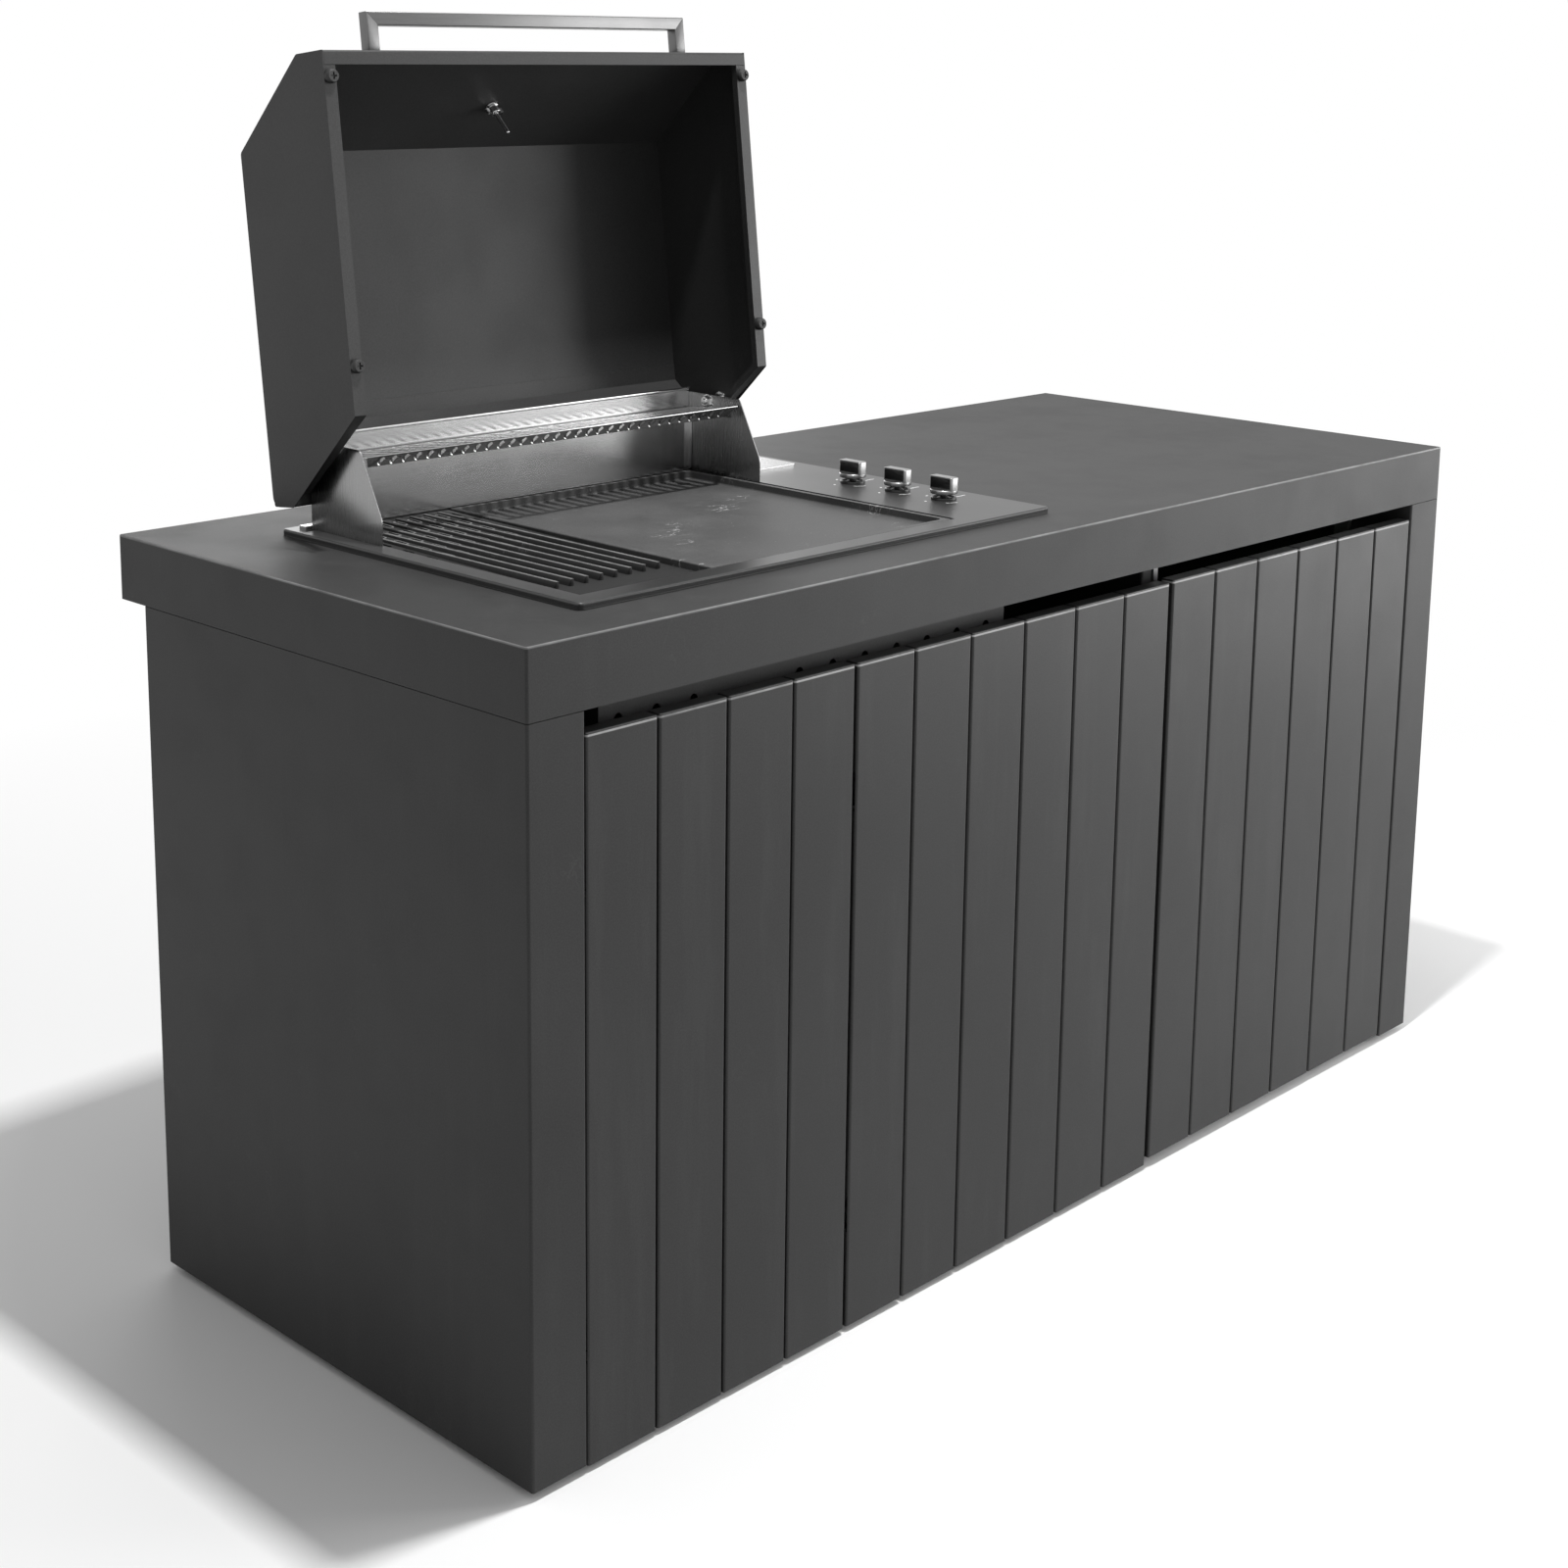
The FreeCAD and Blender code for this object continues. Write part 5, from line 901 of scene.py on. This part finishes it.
# Round parts of a pivot: height of the foot, radius, height, sides, width and steps of the softened rims
PIVOT_PARTS = (("flange", 0, 11, 1.6, 48, 0.35), ("spacer", 0, 7.5, 22.1, 48, 0.35),
               ("washer", 23.9, 9.6, 1.1, 48, 0.35), ("nut", 25, 7.6, 5.6, 6, 0.5))
STUD_LENGTH = 33 * MM
STUD_THICKNESS = 4 * MM


def hood_pivot():
    """Flanged stud with its spacer, washer and hexagon nut, modelled along the up axis."""
    parts = []
    for name, foot, radius, height, sides, rim in PIVOT_PARTS:
        part = turned(name, (0, 0, foot * MM), radius * MM, height * MM, sides)
        soften_edges(part, rim * MM, 2, lying)
        parts.append(part)
    stud = turned("stud", (0, 0, 0), STUD_THICKNESS, STUD_LENGTH, 32)
    soften_top(stud, 0.9 * MM)
    return joined("pivot", parts + [stud])


pivot_model = hood_pivot()
pivots = []
for inner_wall, inwards in ((HOOD_LEFT + HOOD_SHEET, 1), (HOOD_RIGHT - HOOD_SHEET, -1)):
    other = twin(pivot_model, (0, 0, 0))
    pivots.append(moved(other, standing(shop(inner_wall, PIVOT_Y, PIVOT_Z), (inwards, 0, 0))))
bpy.data.objects.remove(pivot_model)
hand_over(joined("hood_pivots", pivots), "hood", "bare_steel", "pivot_bolts", material=BRIGHT_NUT)

TUBE = 15.5
TUBE_CORNER = 1.5 * MM
MITRE_ROUND = 0.35 * MM
HANDLE_HALF = 246.5
HANDLE_OUT = HOOD_FRONT - 38 - TUBE / 2
HANDLE_LOW = HOOD_RIM + 31 - TUBE / 2


def mitred_bow():
    """Square tube in three lengths with mitred corners, drawn on the shut hood."""
    left, right = HOOD_CENTRE - HANDLE_HALF, HOOD_CENTRE + HANDLE_HALF
    low, high = HANDLE_LOW, HANDLE_LOW + TUBE
    bar = slab("bar", (left, HANDLE_OUT, low), (right, HANDLE_OUT + TUBE, high))
    inner_y = shop(0, HANDLE_OUT + TUBE, 0).y
    for end, inwards in ((left, 1), (right, -1)):
        end_x = shop(end, 0, 0).x
        slide_edges(bar, lambda m, d: upright(m, d) and abs(m.x - end_x) < MM and abs(m.y - inner_y) < MM,
                    (inwards * TUBE * MM, 0, 0))
    soften_edges(bar, TUBE_CORNER, 4, along_x)
    lengths = [bar]
    front_y = shop(0, HANDLE_OUT, 0).y
    for end, inwards in ((left, 1), (right, -1)):
        leg = between("leg", end, end + inwards * TUBE, HANDLE_OUT, low, HOOD_FRONT, high)
        inner_x = shop(end + inwards * TUBE, 0, 0).x
        slide_edges(leg, lambda m, d: upright(m, d) and abs(m.x - inner_x) < MM and abs(m.y - front_y) < MM,
                    (0, TUBE * MM, 0))
        soften_edges(leg, TUBE_CORNER, 4, along_y)
        lengths.append(leg)
    for length in lengths:
        rounded(length, MITRE_ROUND)
    return moved(joined("mitred_handle", lengths), swing_open())


hand_over(mitred_bow(), "hood", "handle_chrome", "hood_handle")

# The hood's slope rises from the top of its front, and the thermometer sits a little above its middle
FRONT_HEIGHT = 50
SLOPE_RUN = 100
SLOPE_RISE = 126
SLOPE_ANGLE = atan2(SLOPE_RISE, SLOPE_RUN)
THERMO_PLACE = shop(HOOD_CENTRE, HOOD_FRONT + 54, HOOD_RIM + FRONT_HEIGHT + 0.54 * SLOPE_RISE)
CASE_RADIUS = 31 * MM
CASE_HEIGHT = 13 * MM
CASE_ROUND = 1.8 * MM
DIAL_DEPTH = 2.5 * MM
STEM_LENGTH = 46 * MM
TICKS = 25
TICK_END = 24 * MM
TICK_HALF = 0.35 * MM
SCALE_HALF = 150
NEEDLE_TIP = 19 * MM
NEEDLE_HALF = 1.1 * MM
NEEDLE_TURN = radians(140)


def on_slope():
    """Takes what was modelled upright at the origin to the thermometer's place on the open hood."""
    return swing_open() @ Matrix.Translation(THERMO_PLACE) @ Matrix.Rotation(SLOPE_ANGLE, 4, "X")


def thermometer_case():
    """Stepped round case outside, and the washer, wing nut and stem inside."""
    case = turned("case", (0, 0, 0.1 * MM), CASE_RADIUS, CASE_HEIGHT, 96)
    soften_top(case, CASE_ROUND, 4)
    stepped(case, [(1.2 * MM, 0.3 * MM), (1.6 * MM, -DIAL_DEPTH - 0.3 * MM)])
    washer = turned("washer", (0, 0, -2.8 * MM), 9.5 * MM, 1.6 * MM)
    soften_edges(washer, 0.3 * MM, 2, lying)
    nut = turned("nut", (0, 0, -13.8 * MM), 6.5 * MM, 11 * MM, 32)
    soften_edges(nut, 1.2 * MM, 3, lying)
    outer_x = 12 * MM
    wing = block("wing", Vector((4.5, -1.4, -13.2)) * MM, Vector((12, 1.4, -5)) * MM)
    soften_edges(wing, 2.4 * MM, 4, lambda m, d: along_y(m, d) and m.x > outer_x - MM)
    other = moved(twin(wing, (0, 0, 0)), Matrix.Rotation(pi, 4, "Z"))
    stem = turned("stem", (0, 0, -STEM_LENGTH), 2.6 * MM, STEM_LENGTH, 32)
    soften_edges(stem, 1.8 * MM, 3, lambda m, d: lying(m, d) and m.z < MM - STEM_LENGTH)
    return moved(joined("thermometer_case", [case, washer, nut, wing, other, stem]), on_slope())


def dial_marks():
    """Scale ticks round the dial and a tapered needle."""
    face = CASE_HEIGHT - DIAL_DEPTH + 0.1 * MM
    parts = []
    for k in range(TICKS):
        length = (6 if k % 4 == 0 else 3) * MM
        tick = block("tick", (-TICK_HALF, TICK_END - length, face), (TICK_HALF, TICK_END, face + INK))
        soften_edges(tick, 0.3 * MM, 2, upright)
        turn = radians(SCALE_HALF - 2 * SCALE_HALF * k / (TICKS - 1))
        parts.append(moved(tick, Matrix.Rotation(turn, 4, "Z")))
    needle = block("needle", (-NEEDLE_HALF, -6 * MM, face + 0.8 * MM),
                   (NEEDLE_HALF, NEEDLE_TIP, face + 1.3 * MM))
    with editing(needle):
        pick(needle, "FACE", lambda m, n: m.y > NEEDLE_TIP - MM)
        bpy.ops.transform.resize(value=(0.2, 1, 1))
    hub = turned("hub", (0, 0, face), 3.2 * MM, 1.8 * MM, 32)
    soften_top(hub, 0.6 * MM)
    pointer = moved(joined("pointer", [needle, hub]), Matrix.Rotation(NEEDLE_TURN, 4, "Z"))
    return moved(joined("dial_marks", parts + [pointer]), on_slope())


def dial_face():
    """The sunk face of the dial, with a low raised middle."""
    face = turned("dial_face", (0, 0, CASE_HEIGHT - DIAL_DEPTH - 0.4 * MM), CASE_RADIUS - 4.7 * MM,
                  0.5 * MM, 72)
    stepped(face, [(6 * MM, 0.02 * MM), (8 * MM, -0.02 * MM)])
    return moved(face, on_slope())


hand_over(thermometer_case(), "hood", "stainless", "thermometer")
hand_over(dial_face(), "hood", "stainless", material=DIAL_BLACK)
hand_over(dial_marks(), "hood", "stainless", material=PRINT_WHITE)


# Small things on the grill, round the barbecue and in the finger gap

GRILL_LEFT = 165.0
GRILL_WIDTH = 190.0
RIBS = 8
RIB_PITCH = 21.0
RIB_SPAN = (170.0, 562.0)
FLOOR_DROP = (8.0, 1.8)
SLOT_LAST = 540.0
SLOT_STEP = 42.0
SLOT_ROWS = 9


def slot_collars():
    """Low raised collars round the slots in the grill's grooves."""
    outer = block("collar", Vector((-4.3, -12.4, -1)) * MM, Vector((4.3, 12.4, 0.9)) * MM)
    soften_edges(outer, 4.1 * MM, 5, upright)
    soften_top(outer, 0.5 * MM)
    hole = block("hole", Vector((-2.3, -10.2, -3)) * MM, Vector((2.3, 10.2, 3)) * MM)
    soften_edges(hole, 2.1 * MM, 4, upright)
    collar = cut(outer, hole)
    first = GRILL_LEFT + GRILL_WIDTH / 2 - RIBS / 2 * RIB_PITCH
    fall = (FLOOR_DROP[0] - FLOOR_DROP[1]) / (RIB_SPAN[1] - RIB_SPAN[0])
    lie = Matrix.Rotation(atan2(fall, 1), 4, "X")
    places = []
    for row in range(SLOT_ROWS):
        y = SLOT_LAST - row * SLOT_STEP
        drop = FLOOR_DROP[1] + fall * (RIB_SPAN[1] - y)
        for k in range(1, RIBS):
            place = shop(first + k * RIB_PITCH, y, 0)
            places.append((place.x, place.y, HOB_TOP - drop * MM))
    return repeated("slot_collars", moved(collar, lie), places)


FRAME_LOW, FRAME_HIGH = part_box("hob_frame")
DECK_Z = shop(0, 0, BENCH_HEIGHT).z
SEAL_PROUD = 0.5 * MM
SEAL_HEIGHT = 1.5 * MM
SEAL_WIDTH = 6 * MM
SEAL_CORNER = 9 * MM
SEAL_ROUND = 0.3 * MM
WELD_REACH = 7.2 * MM
WELD_RADIUS = 6.75 * MM
WELD_BELOW_TOP = 1.7 * MM


def hob_seal_and_shade_line():
    """Black sealing strip, and painted shade: it draws the dark contact line where the barbecue sits on the
    bench.
    """
    strip = block("hob_seal_and_shade_line", (FRAME_LOW.x - SEAL_PROUD, FRAME_LOW.y - SEAL_PROUD, DECK_Z),
                  (FRAME_HIGH.x + SEAL_PROUD, FRAME_HIGH.y + SEAL_PROUD, DECK_Z + SEAL_HEIGHT))
    soften_edges(strip, SEAL_CORNER, 6, upright)
    inside = block("inside", (FRAME_LOW.x + SEAL_WIDTH, FRAME_LOW.y + SEAL_WIDTH, DECK_Z - MM),
                   (FRAME_HIGH.x - SEAL_WIDTH, FRAME_HIGH.y - SEAL_WIDTH, DECK_Z + 4 * MM))
    return rounded(cut(strip, inside), SEAL_ROUND)


def corner_welds():
    """Round fillings that close the corners of the pressed frame from inside."""
    height = FRAME_HIGH.z - WELD_BELOW_TOP - DECK_Z
    welds = []
    for x in (FRAME_LOW.x + WELD_REACH, FRAME_HIGH.x - WELD_REACH):
        for y in (FRAME_LOW.y + WELD_REACH, FRAME_HIGH.y - WELD_REACH):
            welds.append(turned("weld", (x, y, DECK_Z + 0.05 * MM), WELD_RADIUS, height, 24))
    return joined("corner_welds", welds)


SHIELD_LEFT = 130.0
SHIELD_RIGHT = 785.0
SHIELD_FRONT = 42.3
SHIELD_BACK = SHIELD_FRONT + 30.0
SHIELD_LOW = 723.0
SHIELD_HIGH = 893.0
SHIELD_THICKNESS = 1.5
VENT_RADIUS = 6 * MM
VENT_PITCH = 54.0
VENT_ROWS = (799.5, 775.5, 751.5)
VENTS_IN_ROW = 12
NO_TOP_VENT = (3, 4)


def heat_shield():
    """Folded plate that hangs in front of the left divider, with three rows of vent holes."""
    plate = slab("heat_shield_front", (SHIELD_LEFT, SHIELD_FRONT, SHIELD_LOW),
                 (SHIELD_RIGHT, SHIELD_BACK, SHIELD_HIGH))
    inside = slab("inside", (SHIELD_LEFT + SHIELD_THICKNESS, SHIELD_FRONT + SHIELD_THICKNESS, SHIELD_LOW - 1),
                  (SHIELD_RIGHT - SHIELD_THICKNESS, SHIELD_BACK + 1, SHIELD_HIGH + 1))
    plate = cut(plate, inside)
    hole = turned("hole", (0, 0, 0), VENT_RADIUS, 6 * MM, 24)
    holes = []
    for row, height in enumerate(VENT_ROWS):
        for k in range(VENTS_IN_ROW):
            if row > 0 or k not in NO_TOP_VENT:
                place = shop(SHIELD_LEFT + (k + 0.5) * VENT_PITCH, SHIELD_FRONT - 2, height)
                holes.append(moved(twin(hole, (0, 0, 0)), standing(place, (0, 1, 0))))
    bpy.data.objects.remove(hole)
    return cut(plate, joined("vent_holes", holes))


BAY_LEFT = 1097.4
SCREW_FIRST = BAY_LEFT + 40
SCREW_PITCH = 80
SCREW_FACE = 44.5
SCREW_HEIGHT = 828.0
SCREWS = 7
HEAD_RADIUS = 3.6 * MM
HEAD_HEIGHT = 1.7 * MM


def bay_screws():
    """Domed screw heads in a row along the top of the right bay's surround."""
    head = turned("head", (0, 0, 0), HEAD_RADIUS, HEAD_HEIGHT, 20)
    soften_top(head, HEAD_HEIGHT * 0.7, 3)
    heads = []
    for k in range(SCREWS):
        place = shop(SCREW_FIRST + SCREW_PITCH * k, SCREW_FACE, SCREW_HEIGHT)
        heads.append(moved(twin(head, (0, 0, 0)), standing(place, (0, -1, 0))))
    bpy.data.objects.remove(head)
    return joined("bay_screws", heads)


# The slot collars are painted paler than the plate: painted highlight
hand_over(slot_collars(), "grill_plate", "cast_iron", material=COLLAR_IRON_LIT)
# The black strip is a seal and painted shade along the barbecue's base
hand_over(hob_seal_and_shade_line(), "bench", "black_rubber")
hand_over(corner_welds(), "bench", "hob_enamel")
# The heat shield carries the paler sheet: painted light in the finger gap
hand_over(heat_shield(), "bench", "dark_sheet", "heat_shield", material=SHIELD_SHEET_LIT)
hand_over(bay_screws(), "bench", "bare_steel")


# Room, light and camera

FLOOR_SIZE = 40
FLOOR_TONE = grey(0.88)
WHITE = grey(1.0)
WHITE_FROM = 1.1
WHITE_TO = 2.6
ROOM_LIGHT = 0.4


def seen_directly(s):
    """One for rays from the camera, mirrored or let through; zero for rays that only carry light."""
    path = s.add("LightPath")
    first = s.math("MAXIMUM", path.outputs["Is Camera Ray"], path.outputs["Is Glossy Ray"])
    return s.math("MAXIMUM", first, path.outputs["Is Transmission Ray"])


def floor_finish():
    """Pale floor that keeps the shadow near the bench and turns into plain white farther away."""
    material = bpy.data.materials.new("pale_floor")
    material.use_nodes = True
    s = Sheet(material.node_tree)
    shader = s.nodes["Principled BSDF"]
    shader.inputs["Base Color"].default_value = FLOOR_TONE
    shader.inputs["Roughness"].default_value = 0.9
    shader.inputs["Specular IOR Level"].default_value = 0.2
    glow = s.add("Emission")
    glow.inputs["Color"].default_value = WHITE
    away = s.add("VectorMath", operation="LENGTH")
    s.feed(away.inputs[0], s.place())
    far = s.ramp(away.outputs["Value"], WHITE_FROM, WHITE_TO)
    blend = s.add("MixShader")
    s.feed(blend.inputs["Fac"], s.math("MULTIPLY", far, seen_directly(s)))
    s.feed(blend.inputs[1], shader.outputs["BSDF"])
    s.feed(blend.inputs[2], glow.outputs["Emission"])
    s.feed(s.nodes["Material Output"].inputs["Surface"], blend.outputs["Shader"])
    return material


bpy.ops.object.select_all(action="DESELECT")
bpy.ops.mesh.primitive_plane_add(size=FLOOR_SIZE, location=(0, 0, 0))
floor = bpy.context.object
floor.name = "floor"
floor.data.materials.append(floor_finish())

world = bpy.data.worlds.new("studio")
world.use_nodes = True
bpy.context.scene.world = world
room = Sheet(world.node_tree)
backdrop = world.node_tree.nodes["Background"]
backdrop.inputs["Color"].default_value = WHITE
room.feed(backdrop.inputs["Strength"], room.ramp(seen_directly(room), 0.0, 1.0, ROOM_LIGHT, 1.0))


def softbox(name, place, aim, size, power):
    """A soft lamp at a place, turned towards its aim and unseen by the camera."""
    lamp = bpy.data.lights.new(name, "AREA")
    lamp.shape = "RECTANGLE"
    lamp.size, lamp.size_y = size
    lamp.energy = power
    holder = bpy.data.objects.new(name, lamp)
    bpy.context.scene.collection.objects.link(holder)
    holder.location = place
    holder.rotation_euler = (Vector(aim) - Vector(place)).to_track_quat("-Z", "Y").to_euler()
    holder.visible_camera = False


softbox("overhead", (0.2, 0.3, 3.4), (0.0, 0.0, 0.9), (3.2, 2.4), 12)
softbox("ceiling_lamp", (-0.3, -0.5, 3.3), (-0.3, 0.1, 0.9), (0.14, 0.14), 78)
softbox("front_right", (3.4, -2.6, 2.2), (0.2, 0.0, 0.6), (2.4, 2.0), 40)
softbox("low_right", (2.7, -1.9, 0.85), (0.7, -0.3, 0.4), (2.2, 1.5), 52)
softbox("behind", (1.5, 3.0, 1.55), (-0.2, 0.0, 0.9), (1.9, 1.2), 20)

# Camera, measured from the photograph: its place in millimetres on the drawing, its angles in degrees and
# its lens in pixels
CAMERA_PLACE = (-1457.45, -1741.2, 1485.51)
AZIMUTH = 46.15
DROP = 10.97
ROLL = -0.73
FOCAL_PIXELS = 2470.79
CENTRE_ROW = 520.0
PICTURE_PIXELS = 1600.0
SENSOR = 36.0


def photo_camera():
    data = bpy.data.cameras.new("photo_camera")
    camera = bpy.data.objects.new("photo_camera", data)
    bpy.context.scene.collection.objects.link(camera)
    turn, fall, roll = radians(AZIMUTH), radians(DROP), radians(ROLL)
    forward = Vector((sin(turn) * cos(fall), cos(turn) * cos(fall), -sin(fall)))
    right = Vector((cos(turn), -sin(turn), 0))
    down = forward.cross(right)
    rolled_right = right * cos(roll) + down * sin(roll)
    rolled_down = down * cos(roll) - right * sin(roll)
    axes = Matrix((rolled_right, -rolled_down, -forward)).transposed().to_4x4()
    camera.matrix_world = Matrix.Translation(shop(*CAMERA_PLACE)) @ axes
    data.sensor_width = SENSOR
    data.lens = FOCAL_PIXELS / PICTURE_PIXELS * SENSOR
    data.shift_y = (CENTRE_ROW - PICTURE_PIXELS / 2) / PICTURE_PIXELS
    bpy.context.scene.camera = camera


photo_camera()
bpy.context.scene.view_settings.view_transform = "Standard"
